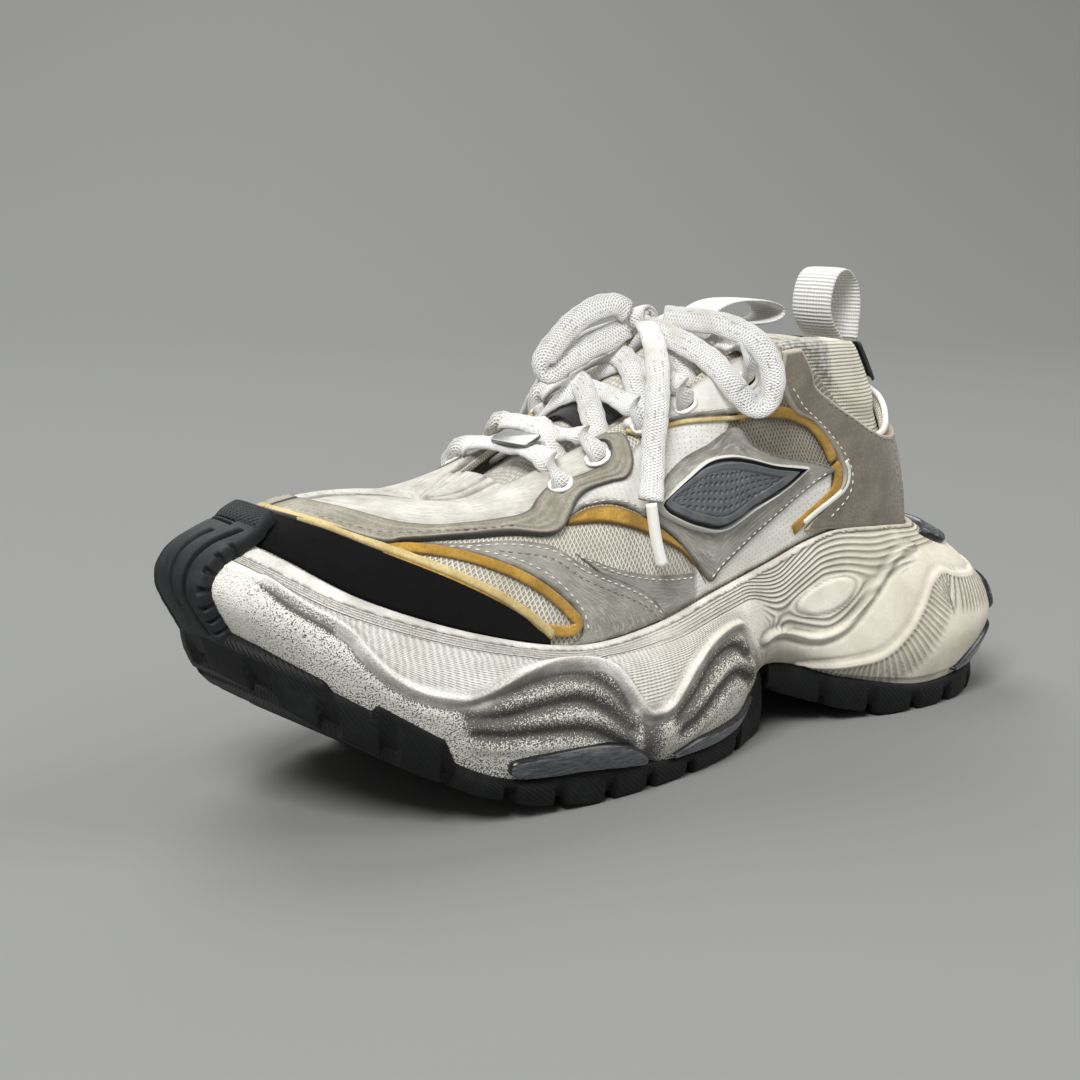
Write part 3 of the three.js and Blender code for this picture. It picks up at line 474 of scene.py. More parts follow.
tips = {}
for name, side in (("outer", 1), ("inner", -1)):
    mesh, _, _ = ribbon(u(LACE_TIP, side), np.array([-1.0, 0, 0]), 3.6, 3.4)
    tips[name] = piece("tip_" + name, mesh, tip_plastic, "aglet_plastic", ["aglet_" + name])

# The outer loop's return strand, from its far end back under the knot.
LOOP_BACK = u([
    (148.4, -38.6, 124.6), (151, -35.5, 129.5), (152.5, -29, 135), (154.5, -20, 139.5), (156.5, -10, 143),
    (158.5, -2, 145.5),
])
mesh, _, _ = ribbon(LOOP_BACK, unit(np.array((-0.75, -0.6, 0.25))), LACE_WIDTH, LACE_THICK, pucker=0.05)
loop_back = piece("bow_loop_return", mesh, lace_cloth, "lace")
carried = {"outer": [loop_back], "inner": []}

for name in ("outer", "inner"):
    made, line, length = bows["lace_end_" + name]
    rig.cord(made, exit=line[0], length=length, diameter=LACE_WIDTH / 1000, far_end="fitting",
            stiffness="limp", lay="hanging", path=line, with_pieces=[tips[name]])
    made, line, length = bows["lace_loop_" + name]
    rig.cord(made, exit=line[0], length=length, diameter=LACE_WIDTH / 1000, far_end="knot",
            stiffness="limp", lay="loose", path=line, with_pieces=carried[name])

# The knot: one end of the lace is wrapped round the other and pulled tight. It is the same braided
# cloth, as two crossing turns over a core.
KNOT = u([(158, 0, 148)])[0]
knot_mesh = None
for tilt, wide, radius in ((0.5, 6.4, 3.6), (-0.6, 5.6, 2.6)):
    turns = np.linspace(0, 2 * math.pi, 22)
    hoop = np.stack([1.25 * radius * np.cos(turns), radius * 0.5 * np.sin(turns) * tilt,
                     radius * np.sin(turns)], 1)
    hoop[:, 1] += 2.4 * tilt * np.cos(turns)
    wrap, _, _ = ribbon(KNOT + hoop, unit(hoop), wide, 2.0)
    if knot_mesh is None:
        knot_mesh = wrap
    else:
        wrap_data = bpy.data.meshes.new("second_turn")
        wrap.to_mesh(wrap_data)
        knot_mesh.from_mesh(wrap_data)
core = Matrix.Translation(Vector(KNOT / 1000)) @ Matrix.Diagonal((0.0046, 0.0036, 0.0036, 1))
bmesh.ops.create_icosphere(knot_mesh, subdivisions=3, radius=1, matrix=core)
piece("bow_knot", knot_mesh, lace_cloth, "lace", ["lace_knot"])

# The shape: rings of points round the sole and a last standing in it, from the part's own sizes.
# Every piece below is laid on these surfaces, so that they fit each other as sewn and glued parts do.

# The widest line of the midsole: distance from the rear, outer and inner half width, height.
BELLY = [
    (0, 0, 0, 34), (7, 34, 32, 33), (30, 50, 47, 30), (64, 53, 49, 26), (98, 48, 43, 26),
    (130, 43, 39, 33), (160, 53, 47, 24), (192, 61, 54, 20), (228, 64, 58, 21), (268, 60.5, 56, 31),
    (307, 44, 45, 54), (331, 22, 28, 70), (339, -5, 5, 76),
]
# The midsole's other lines, from the widest one: shift forward, part of its width, height.
FOOT = [
    (10, 1, 12), (7, 0.88, 12), (4, 0.93, 11), (0, 0.95, 10), (0, 0.93, 17), (0, 0.84, 25), (0, 0.93, 9),
    (0, 0.94, 8), (0, 0.94, 12), (-1, 0.94, 16), (-4, 0.93, 38), (-9, 0.85, 52), (-9, 1, 58),
]
SHOULDER = [
    (16, 1, 53), (13, 0.84, 53), (6, 0.86, 52), (2, 0.89, 49), (0, 0.92, 50), (0, 1, 50), (0, 0.94, 46),
    (0, 0.93, 42), (0, 0.93, 43), (0, 0.94, 50), (-1, 0.93, 64), (-3, 0.9, 79), (-3, 1, 84),
]
RIM = [
    (42, 1, 68), (34, 0.61, 67), (19, 0.65, 66), (6, 0.71, 68), (2, 0.8, 69), (1, 0.95, 62), (0, 0.83, 56),
    (0, 0.8, 50), (0, 0.82, 49), (0, 0.85, 58), (-3, 0.82, 71), (-8, 0.72, 83), (-10, 1, 88),
]
# The last's top line: distance from the rear, half widths and height, then how its wall leaves the
# sole and how it reaches this line, each outwards and upwards.
OPENING = [
    (62, 0, 0, 137, 4, 28, 19, -20), (66, 14, 14, 139, 4, 28, 14, -22), (76, 24, 23, 140, 4, 28, 8, -24),
    (91, 31, 30, 141, 4, 28, 3, -26), (113, 33, 31, 141, 4, 28, 1, -26), (137, 30, 29, 138, 3, 28, 4, -24),
    (163, 26, 25, 126, 4, 26, 9, -12), (188, 22, 21, 115, 4, 24, 15, -5),
    (212, 19, 17, 105, 4, 24, 19, -1), (230, 15, 14, 97, 5, 24, 20, 3), (240, 11, 11, 92, 6, 23, 24, 6),
    (245, 6, 7, 90, 7, 22, 32, 11), (246, -1, 2, 89, 8, 21, 42, 14),
]
# How much of the wall the shell keeps: it is cut low behind the ankle, where the collar takes over.
SHELL_EDGE = [0.72, 0.67, 0.54, 0.61, 0.91, 1, 1, 1, 1, 1, 1, 1, 1]
TOE = 12
ROUND = 24  # stations all the way round
WALL = 2.6  # the shell's thickness
THROAT = 0.985  # the level of the throat's edge
LAST_IN = 6.3  # how far inside the midsole's rim the last's foot stands
LAST_DOWN = 12  # and how far below it
NUDGE = 0.01  # the small step that slopes are read over


def ring(row):
    """Thirteen rows from heel to toe as a closed ring of 24: the outer side, then the inner side."""
    outer = [row(i, -1) for i in range(TOE + 1)]
    return np.array(outer + [row(i, 1) for i in range(TOE - 1, 0, -1)], float)


def side_ring(table):
    def row(i, side):
        wide = -BELLY[i][1] if i == TOE else side * BELLY[i][1 if side < 0 else 2]
        return (HALF - BELLY[i][0] - table[i][0], wide * table[i][1], table[i][2])

    return ring(row)


def bend(a, b, c, d, f):
    return 0.5 * (2 * b + (c - a) * f + (2 * a - 5 * b + 4 * c - d) * f**2 + (3 * b - a - 3 * c + d) * f**3)


def along(points, station):
    """The smooth closed line through a ring, read at any stations."""
    turn = np.asarray(station, float) % ROUND
    first = np.floor(turn).astype(int)
    return bend(*(points[(first + k) % ROUND] for k in (-1, 0, 1, 2)), (turn - first)[..., None])


belly_ring = side_ring([(0, 1, b[3]) for b in BELLY])
foot_ring, rim_ring = side_ring(FOOT), side_ring(RIM)
sole_rings = [foot_ring, belly_ring, side_ring(SHOULDER), rim_ring]
opening_ring = ring(
    lambda i, side: (
        HALF - OPENING[i][0],
        -OPENING[i][1] if i == TOE else side * OPENING[i][1 if side < 0 else 2],
        *OPENING[i][3:],
    )
)
edge_ring = ring(lambda i, side: (SHELL_EDGE[i],))


def shell_edge(station):
    return along(edge_ring, station)[..., 0]


def sole_point(station, level):
    """The midsole's side: level 0 is its foot, 1 its widest line, 2 the shoulder and 3 the rim."""
    p = [along(r, station) for r in sole_rings]
    p = np.stack([2 * p[0] - p[1], *p, 2 * p[3] - p[2]])
    first = np.clip(np.floor(level), 0, 2).astype(int)
    n = np.arange(len(first))
    return bend(*(p[first + k, n] for k in range(4)), (level - first)[:, None])


def outward(station):
    """The level direction out of the shoe at the rim."""
    step = 2.4 * NUDGE
    run = along(rim_ring, station + step) - along(rim_ring, station - step)
    return unit(np.stack([-run[:, 1], run[:, 0], 0 * run[:, 0]], 1))


def last_point(station, level):
    """The last's wall: level 0 is the upper's edge inside the midsole, 1 the collar and throat."""
    out = outward(station)
    up = np.array([0, 0, 1.0])
    foot = along(rim_ring, station) - LAST_IN * out - LAST_DOWN * up
    line = along(opening_ring, station)
    low = foot + line[:, 3:4] * out + line[:, 4:5] * up
    top = line[:, :3]
    high = top + line[:, 5:6] * out + line[:, 6:7] * up
    t = level[:, None]
    return (1 - t) ** 3 * foot + 3 * (1 - t) ** 2 * t * low + 3 * (1 - t) * t * t * high + t**3 * top


def facing(surface, station, level):
    """The way straight out of a surface, as a length of 1."""
    around_way = surface(station + NUDGE, level) - surface(station - NUDGE, level)
    rise = surface(station, level + NUDGE) - surface(station, level - NUDGE)
    return unit(np.cross(rise, around_way))


def together(*values):
    """Numbers and arrays as arrays of one length."""
    return np.broadcast_arrays(*(np.atleast_1d(np.asarray(v, float)) for v in values))


def off(surface, station, level, out):
    """Points at a distance out of a surface, at arrays of stations and levels."""
    station, level, out = together(station, level, out)
    return surface(station, level) + facing(surface, station, level) * out[:, None]


def rim_level(station):
    """Where the last passes the height of the midsole's rim."""
    station = np.atleast_1d(np.asarray(station, float))
    height = along(rim_ring, station)[:, 2]
    low, high = 0 * station, 0 * station + 0.5
    for _ in range(20):
        middle = (low + high) / 2
        under = last_point(station, middle)[:, 2] < height
        low, high = np.where(under, middle, low), np.where(under, high, middle)
    return low


# Midsole: one block of moulded foam, off-white with a matt fine skin. A wave ridge runs over both
# pods, an eye-shaped plain boss sits behind them, and thin ribs cover the heel. Troughs and folds are
# darkened: dirt specks, and painted shade such as the dark line under the wave ridge. It is cast in
# one piece; the upper is glued into its well.


def smooth(x):
    x = np.clip(x, 0, 1)
    return x * x * (3 - 2 * x)


def near(points, line):
    """For each point, how far a line of points is, and how far along it the nearest place lies."""
    best = np.full(len(points), 1e9)
    place = np.zeros(len(points))
    run = 0.0
    for a, b in zip(line[:-1], line[1:]):
        step = b - a
        t = np.clip((points - a) @ step / (step @ step), 0, 1)
        gap = np.linalg.norm(points - a - t[:, None] * step, axis=1)
        place = np.where(gap < best, run + t * np.linalg.norm(step), place)
        best = np.minimum(best, gap)
        run += np.linalg.norm(step)
    return best, place


def fold(station):
    """The outer side's station for either side: the inner side mirrors the outer one."""
    return np.minimum(station % ROUND, ROUND - station % ROUND)


SIDE_STRETCH = (1, 2)  # a level of the side is about as long as two stations


def line_over(surface, route, count):
    """A smooth line through stations and levels, as points on a surface."""
    flat = through(np.array(route, float) * SIDE_STRETCH, count)[0] / SIDE_STRETCH
    return off(surface, flat[:, 0], flat[:, 1], 0.0)


WAVE = [
    (10.91, 2.4), (10.49, 2.16), (10.19, 2.12), (10.02, 1.93), (9.93, 1.6), (9.82, 1.33), (9.71, 1.19),
    (9.56, 1.16), (9.34, 1.3), (9.17, 1.42), (8.95, 1.7), (8.66, 2.08), (8.35, 2.38), (8.02, 2.4),
    (7.8, 2.1), (7.66, 1.75), (7.53, 1.43), (7.41, 1.3), (7.22, 1.32), (7.02, 1.48), (6.73, 1.74),
    (6.35, 1.97), (5.93, 2.02), (5.76, 1.87), (5.57, 1.47), (5.38, 0.85),
]
FURROWS = [
    [(9.3, 1.2), (9.0, 1.55), (8.6, 1.88), (8.21, 1.98), (7.92, 1.78), (7.68, 1.42)],
    [(9.35, 0.95), (8.98, 1.25), (8.6, 1.5), (8.23, 1.6), (7.95, 1.45), (7.7, 1.15)],
    [(9.3, 0.7), (8.98, 0.95), (8.63, 1.15), (8.25, 1.22), (8.0, 1.12), (7.74, 0.86)],
    [(7.2, 1.0), (6.85, 1.3), (6.4, 1.62), (6.0, 1.66), (5.75, 1.4)],
    [(7.15, 0.75), (6.8, 1.0), (6.4, 1.22), (6.0, 1.28), (5.72, 1.0)],
]
BROW = [
    (5.31, 1.35), (5.01, 1.35), (4.56, 1.23), (4.2, 1.37), (3.89, 1.61), (3.59, 1.92), (3.22, 2.35),
    (2.9, 2.55), (2.61, 2.6),
]
HEEL_LINE = [
    (4.56, 0.1), (4.13, 0.67), (3.62, 0.92), (3.26, 1.23), (2.96, 1.56), (2.66, 1.91), (2.39, 2.0),
    (2.14, 1.82), (1.5, 1.7), (0.7, 1.9), (0, 2.0),
]
EYE = {"station": 4.28, "level": 1.92, "long": 0.43, "high": 0.24, "tilt": 0.31}

foam, tree, skin = finish_called("scuffed_moulded_foam", "e6e3dc", 0.72)
FIELDS = ("dirt_and_shade", "grain", "weave", "swept", "ribs", "lens", "run", "depth")
marks = {k: mark(tree, k) for k in FIELDS}
foam_map = own_map(tree)


def lines_of(tree, field, pitch, mask):
    """Fine lines along the even values of a field, one for each pitch, where the mask is 1."""
    wave = maths(tree, "SINE", maths(tree, "MULTIPLY", field, 2 * math.pi / pitch))
    return maths(tree, "MULTIPLY", maths(tree, "MULTIPLY_ADD", wave, 0.5, 0.5), mask)


patchy = speckle(tree, 14, 6, rough=0.65)
fine = speckle(tree, 0.9, 3, rough=0.6)
gritty = speckle(tree, 0.5, 2, rough=0.5)
threads = waves(tree, foam_map, 3.6, 1.5, 2, "Y")
dashes = waves(tree, foam_map, 1.7, 3.0)
hatch = maths(tree, "MULTIPLY", threads, steps(tree, dashes, -0.6, 0.9))
hatch = maths(tree, "MULTIPLY", hatch, marks["weave"])
by_rim = steps(tree, marks["depth"], 1.02, 0.9)
fields = [
    lines_of(tree, marks["lens"], 0.135, marks["swept"]),
    lines_of(tree, marks["run"], 0.22, marks["ribs"]),
    lines_of(tree, marks["depth"], 0.2, maths(tree, "MULTIPLY", by_rim,
                                              maths(tree, "SUBTRACT", 1.0, marks["swept"]))),
]
grooves = maths(tree, "MAXIMUM", maths(tree, "MAXIMUM", fields[0], fields[1]), fields[2])
# The dirt_and_shade field darkens troughs, folds and the foot of the side: dirt specks, and painted shade.
dirt_and_shade_patches = maths(tree, "MULTIPLY", marks["dirt_and_shade"], steps(tree, patchy, 0.25, 0.6))
specks = steps(tree, maths(tree, "MULTIPLY_ADD", marks["dirt_and_shade"], 0.30, gritty), 0.57, 0.68)
specks = maths(tree, "MULTIPLY", specks, marks["grain"])
place = put(tree, "ShaderNodeTexCoord").outputs["Object"]
behind = steps(tree, put(tree, "ShaderNodeSeparateXYZ", {0: place}).outputs[0], -0.05, 0.1)
fresh = tint(tree, behind, "f3f1eb", "ece5d5")
yellowed = tint(tree, behind, "dedad0", "d6cdb9")
body = tint(tree, steps(tree, patchy, 0.35, 0.7), fresh, yellowed)
body = tint(tree, steps(tree, fine, 0.55, 0.85), body, "c9c3b5")
body = tint(tree, maths(tree, "MULTIPLY", hatch, 0.4), body, "8b867b")
body = tint(tree, maths(tree, "MULTIPLY", grooves, 0.5), body, "857d6e")
body = tint(tree, maths(tree, "MULTIPLY", specks, 0.9), body, "3b3834")
# A smooth dark wash over that field: painted shade in the troughs and folds, mixed with dirt.
dirt_and_shade_wash = maths(tree, "MULTIPLY", dirt_and_shade_patches, maths(tree, "MULTIPLY_ADD", marks["grain"], -0.42, 0.7))
body = tint(tree, dirt_and_shade_wash, body, "4f4b45")
paint(tree, skin, body)
relief(tree, skin, fine, 0.15, 0.6)
relief(tree, skin, maths(tree, "MULTIPLY", gritty, marks["grain"]), 0.9, 0.8)
relief(tree, skin, maths(tree, "SUBTRACT", 1.0, hatch), 0.35, 0.8)
relief(tree, skin, maths(tree, "SUBTRACT", 1.0, grooves), 0.7, 0.9)

SIDE_ROWS = 96
SIDE_COLUMNS = 760
UNDER_ROWS = 3
ALL_ROWS = UNDER_ROWS + SIDE_ROWS + 6


def eye_distance(station, level):
    """1 on the rim of the eye-shaped boss, less inside, more outside."""
    s = fold(station) - EYE["station"]
    rise = level - EYE["level"] + s * EYE["tilt"]
    return np.hypot(s / EYE["long"], rise / EYE["high"])


def foam_relief(station, level):
    """How far the foam's side stands out of its smooth form in mm, and its dirt, painted shade and textures.
    Distances are taken on the outer side for both, because the inner side mirrors it."""
    s = fold(station)
    here = sole_point(s, level)
    out = np.zeros(len(s))
    dirt_and_shade = np.zeros(len(s))

    def gap_to(route):
        return near(here, line_over(sole_point, route, 80))

    def height_of(route):
        flat = through(np.array(route) * SIDE_STRETCH, 120)[0] / SIDE_STRETCH
        order = np.argsort(flat[:, 0])
        return np.interp(s, flat[order, 0], flat[order, 1])

    def peak(gap, middle, wide):
        return np.exp(-(((gap - middle) / wide) ** 2))

    wave, _ = gap_to(WAVE)
    reach = smooth((s - 5.3) / 0.3) * smooth((11.2 - s) / 0.5)
    below = smooth((height_of(WAVE) - level) / 0.1) * reach
    out += 1.7 * peak(wave, 0, 0.95) * reach
    out += below * (0.5 * smooth(wave / 3) - 1.1 * peak(wave, 3.2, 1.5))
    out -= (1 - below) * 0.5 * peak(wave, 2.6, 1.2) * reach
    # A dark band just under the wave ridge: painted shade of the ridge, with some dirt.
    dirt_and_shade += reach * (0.95 * below * peak(wave, 2.6, 1.2) + 0.6 * (1 - below) * peak(wave, 2.1, 0.7))
    for k, furrow in enumerate(FURROWS):
        gap, run = gap_to(furrow)
        fade = smooth(run / 8)
        out -= fade * 1.9 * peak(gap, 0, 1.5)
        out += 0.6 * fade * peak(gap, 4.2, 1.8)
        dirt_and_shade += fade * (0.95 * peak(gap, 0.2, 1.3) + 0.35 * peak(gap, 2.2, 1.8))
    brow, _ = gap_to(BROW)
    out += 1.5 * peak(brow, 0, 1.2) - 0.5 * peak(brow, 2.6, 0.9)
    dirt_and_shade += 0.6 * peak(brow, 2.4, 0.8)
    edge, run = gap_to(HEEL_LINE)
    panel_at = smooth((height_of(HEEL_LINE) - level) / 0.08) * (s < 4.6)
    out += 0.9 * panel_at * smooth((level - 0.12) / 0.1) + 0.9 * peak(edge, 0, 0.9)
    out -= 0.4 * peak(edge, 2.4, 0.7) * (1 - panel_at)
    ribs = panel_at * smooth((edge - 1.6) / 0.8) * smooth((17 - edge) / 5)
    dirt_and_shade += 0.6 * peak(edge, 1.8, 0.7) + 0.25 * ribs
    ring_at = eye_distance(station, level)
    ahead = s - EYE["station"]
    across, rise = ahead / 1.45, (level - EYE["level"] + ahead * EYE["tilt"]) / 0.85
    lens = (np.abs(across) ** 1.35 + np.abs(rise) ** 1.35) ** (1 / 1.35)
    flow = smooth((np.abs(ahead) - 0.55) / 0.8)
    lens = lens * (1 - flow) + flow * (level - EYE["level"]) / 0.85
    near_eye = smooth((s - 2.6) / 0.4) * smooth((7.6 - s) / 1.2) * (1 - panel_at)
    under_eye = smooth((-rise - 0.05) / 0.15)
    swept = near_eye * smooth((ring_at - 1.2) / 0.12) * (1 - under_eye * smooth((ring_at - 1.9) / 0.4))
    swept *= 1 - smooth((s - 5.1) / 0.3) * smooth((0.62 - lens) / 0.15)
    out += 0.9 * smooth((1.04 - ring_at) / 0.1)
    dirt_and_shade += 1.0 * peak(ring_at, 1.09, 0.06) * near_eye + 0.25 * swept * smooth((1.2 - lens) / 0.6)
    mid = smooth((level - height_of(WAVE) - 0.1) / 0.1) * smooth((2.62 - level) / 0.06)
    weave = mid * smooth((s - 5.6) / 0.4) * (1 - swept)
    toe_grain = 0.8 * (s > 10.2) * smooth((2.3 - level) / 0.2)
    grain = np.clip(below * smooth((wave - 2) / 2) + toe_grain, 0, 1)
    grain = np.maximum(grain, 0.35 * smooth((s - 5.2) / 0.2) * (1 - weave))
    # Darker towards the foot of the side, in the valley and under the arch: painted shade and dirt.
    dirt_and_shade += 0.25 * smooth((0.5 - level) / 0.5) + 0.16 * below
    valley = peak(s, 7.43, 0.13) * smooth((1.55 - level) / 0.4)
    arch = peak(s, 5.3, 0.3) * smooth((1.7 - level) / 0.6)
    out -= 1.6 * valley
    dirt_and_shade += 0.9 * valley + 0.8 * arch + 0.5 * smooth((level - 2.93) / 0.05)
    fields = dict(dirt_and_shade=np.clip(dirt_and_shade, 0, 1), grain=grain, weave=weave, swept=swept, ribs=ribs)
    return out, dict(fields, lens=lens, run=run / 10, depth=(3 - level) * 1.9)


block, a, b = grid(SIDE_COLUMNS, ALL_ROWS)
station = a * ROUND
row = nth(b, ALL_ROWS)
side_level = np.clip((row - UNDER_ROWS) / SIDE_ROWS, 0, 1) * 3
out, foam_marks = foam_relief(station, side_level)
points = off(sole_point, station, side_level, out)
rim = along(rim_ring, station)
well = off(last_point, station, rim_level(station), 1.95 + 0.7 * smooth((4.5 - fold(station)) / 0.3))
well[:, 2] = rim[:, 2]
top = UNDER_ROWS + SIDE_ROWS
for k, (share, rise) in enumerate(((0.12, 0.7), (0.35, 1.1), (0.75, 1.1), (1.0, 0.7))):
    at = row == top + 1 + k
    points[at] = (rim + share * (well - rim) + np.array([0, 0, rise]))[at]
under = row == top + 5
points[under] = off(last_point, station, rim_level(station) * 0.55, 0.5)[under]
opposite = sole_point(ROUND - station, 0 * station)
for k, share in enumerate((0.5, 0.3, 0.12)):
    at = row == k
    points[at] = (sole_point(station, 0 * station) * (1 - share) + share * opposite)[at]
for key in ("grain", "weave", "swept", "ribs"):
    foam_marks[key][row > top] = 0
foam_marks["depth"][row < UNDER_ROWS] = 2
foam_marks["depth"][row > top] = -0.05
lay(block, points, 820, 62, **foam_marks)
piece("foam_midsole", block, foam, "foam", ["midsole"])

# Outsole: black carbon rubber in two moulded parts, glued under the foam, with lugs and steps cut
# through its edge. The edge climbs the foam round the toe. Fine slanting lines cover its side.
FRONT_GROUND = [
    (134, 1), (139, 0), (230, 0), (253, 4), (273, 10.5), (291, 19.5), (303, 27), (313, 33), (321, 39.5),
    (329, 46), (337, 53), (347, 64),
]
HEEL_GROUND = [(-8, 12), (2, 4.5), (14, 0), (78, 0), (99, 5), (122, 13), (130, 17)]
FRONT_GROOVES = [156, 186, 206, 224, 244, 262, 281, 297, 311, 324, 334]
HEEL_GROOVES = [30, 48, 66, 86, 106]
GROOVE = 4.5
LUG_DEPTH = 3.2

rubber, tree, skin = finish_called("black_carbon_rubber", "121314", 0.62, Specular_IOR_Level=0.3)
slanted = own_map(tree, 0.9)
hatch = waves(tree, slanted, 2.3, 0.2)
dusty = speckle(tree, 12, 6, rough=0.7)
black = tint(tree, steps(tree, dusty, 0.5, 0.85), "0b0c0d", "232425")
paint(tree, skin, black)
relief(tree, skin, hatch, 0.18, 0.6)
relief(tree, skin, speckle(tree, 0.7, 2), 0.08, 0.5)


def rubber_lip(station):
    """How far the rubber stands out past the foam: more round the toe."""
    return 2 + 2.5 * smooth((station - 9.8) / 1.6) * smooth((14.2 - station) / 1.6)


def lip_level(station):
    """How high the rubber climbs the foam, as a level of the side, in three steps near the toe."""
    s = fold(station)
    return 0.4 * smooth((s - 9.3) / 0.1) - 0.2 * smooth((s - 9.87) / 0.08) + 0.14 * smooth((s - 10.27) / 0.08)


def ground(x, table, grooves, deep):
    """The tread's height under a place: its ground line, with a notch between two lugs."""
    back = HALF - x
    line = np.interp(back, *np.array(table, float).T)
    notch = np.zeros(len(back))
    for groove in grooves:
        notch = np.maximum(notch, smooth((GROOVE / 2 + 0.35 - np.abs(back - groove)) / 0.7))
    return line + notch * deep


def outsole(name, first, final, table, grooves, columns, channel, node):
    """One part of the rubber, from station first round to station final."""
    inward = 10
    up_rows = [0.0, 0.06, 0.2, 0.45, 0.75, 0.94, 1.0]
    rows = inward + len(up_rows) + 3
    bm, a, b = grid(columns, rows)
    column = nth(a, columns)
    station = first + np.clip((column - 1) / (columns - 2), 0, 1) * (final - first)
    row = nth(b, rows)
    foot = sole_point(station, 0 * station)
    out = outward(station)
    lip = rubber_lip(station)
    edge = foot + lip[:, None] * out
    climb = lip_level(station)
    collar = off(sole_point, station, climb - 0.04, lip)
    inner = off(sole_point, station, climb, 0.35)
    low = edge - 2.4 * out
    low[:, 2] = ground(low[:, 0], table, grooves, LUG_DEPTH)
    low_inner = along(foot_ring, ROUND - station) - (2.4 - lip)[:, None] * outward(ROUND - station)
    points = np.zeros((len(station), 3))
    for k in range(inward + 1):
        at = row == k
        share = 0.5 * (1 - k / inward)
        p = low * (1 - share) + low_inner * share
        u0, u1, mid_y, wide = channel
        in_channel = smooth((wide / 2 + 0.5 - np.abs(p[:, 1] - mid_y)) / 1.0)
        in_channel *= (HALF - p[:, 0] > u0) * (HALF - p[:, 0] < u1)
        deep = LUG_DEPTH * (1 if share < 0.4 else 0.6)
        p[:, 2] = ground(p[:, 0], table, grooves, deep) + in_channel * LUG_DEPTH
        points[at] = p[at]
    wall_foot = low + 1.2 * out
    wall_foot[:, 2] = low[:, 2] + 0.7
    notch = ground(low[:, 0], table, grooves, LUG_DEPTH) - ground(low[:, 0], table, [], 0)
    for k, share in enumerate(up_rows):
        at = row == inward + 1 + k
        swell = 0.9 * math.sin(math.pi * share) - 0.5 * notch * (1 - share)
        side = wall_foot * (1 - share) + (collar - 0.3 * out) * share + swell[:, None] * out
        points[at] = side[at]
    for k, spot in enumerate((0.35 * inner + 0.65 * collar, inner, inner - 3 * out)):
        at = row == inward + 1 + len(up_rows) + k
        lifted = spot + np.array([0, 0, (0.35, 0.1, -0.6)[k]])
        points[at] = lifted[at]
    cap = (column == 0) | (column == columns)
    points[cap, 2] = np.maximum(points, foot + np.array([0, 0, 0.5]))[cap, 2]
    lay(bm, points, abs(final - first) * 33, 40)
    piece(name, bm, rubber, "tread_rubber", node)


def station_at(back):
    """The outer side's station whose foot lies at a distance from the rear."""
    s = np.linspace(0, TOE, 1200)
    return float(np.interp(back, HALF - along(foot_ring, s)[:, 0], s))


front_start = station_at(134)
outsole("outsole_front", front_start, ROUND - front_start, FRONT_GROUND, FRONT_GROOVES, 900,
        (146, 236, -12, 7), [])
heel_start = station_at(130)
outsole("outsole_rear", -heel_start, heel_start, HEEL_GROUND, HEEL_GROOVES, 520, (20, 80, 0, 7),
        ["outsole_heel"])

# Toe bumper: a wide strap of dark grey rubber, one moulding with the front outsole, that climbs
# over the toe. It has a knurled patch at its top end, two long grooves and plain slots.
BUMPER = {"middle": 4, "long": 105, "width": 28, "thick": 4.6}


def across_toe(surface, level, lift, y):
    """Points at sideways places y, on the toe at one level of a surface."""
    low, high = 0 * y + 10.2, 0 * y + 13.8
    for _ in range(22):
        middle = (low + high) / 2
        left = off(surface, middle, level, lift)[:, 1] < y
        low, high = np.where(left, middle, low), np.where(left, high, middle)
    return off(surface, low, level, lift), facing(surface, low, level + 0 * low)


bumper_rubber, tree, skin = finish_called("grey_bumper_rubber", "1d1f21", 0.66, Specular_IOR_Level=0.35)
knurl_here = mark(tree, "knurl")
painted_groove_shade = mark(tree, "deep")
knurl = maths(tree, "MULTIPLY", crossed(tree, 0.8, "MULTIPLY", 2.6), knurl_here)
dust = speckle(tree, 7, 6, rough=0.7)
grey = tint(tree, steps(tree, dust, 0.45, 0.8), "1b1d1f", "303335")
# Grooves, slots and edge notches are painted near black: painted shade in the recesses.
paint(tree, skin, tint(tree, painted_groove_shade, grey, "0a0a0b"))
relief(tree, skin, speckle(tree, 0.6, 2), 0.08, 0.5)
relief(tree, skin, knurl, 0.6, 0.9)

RUNGS = [(sole_point, -0.15, 0), (sole_point, 0.4, 0), (sole_point, 1.0, 0), (sole_point, 1.6, 0),
         (sole_point, 2.3, 0), (sole_point, 3.0, 0.3), (last_point, 0.25, 2.8), (last_point, 0.3, 2.9),
         (last_point, 0.37, 2.7)]
BUMPER_LONG = 220
BUMPER_WIDE = 100
share = np.linspace(-0.5, 0.5, BUMPER_WIDE + 1)
grid_lines, grid_faces = [], []
for surface, level, lift in RUNGS:
    spots, ways = across_toe(surface, level, lift, BUMPER["middle"] + share * BUMPER["width"])
    grid_lines.append(spots)
    grid_faces.append(ways)
lines_along = [through(np.array(grid_lines)[:, i], BUMPER_LONG + 1)[0] for i in range(BUMPER_WIDE + 1)]
spine = np.stack(lines_along, 1)
around_way = np.gradient(spine, axis=1)
rise = np.gradient(spine, axis=0)
ways = unit(np.cross(rise, around_way))
bm, a, b = grid(BUMPER_LONG, BUMPER_WIDE)
i, j = nth(a, BUMPER_LONG), nth(b, BUMPER_WIDE)
side = np.abs(b - 0.5) * 2
end = np.clip((a - 0.9) / 0.1, 0, 1)
width_here = 1 - 0.14 * smooth((a - 0.72) / 0.28) - 0.10 * end**2
edge_gap = (1 - side) * BUMPER["width"] / 2
end_gap = (1 - a) * BUMPER["long"]


def quarter_round(gap, radius):
    """0 at an edge, rising like a quarter circle to 1 at the radius from it."""
    return np.sqrt(1 - (1 - np.clip(gap / radius, 0, 1)) ** 2)


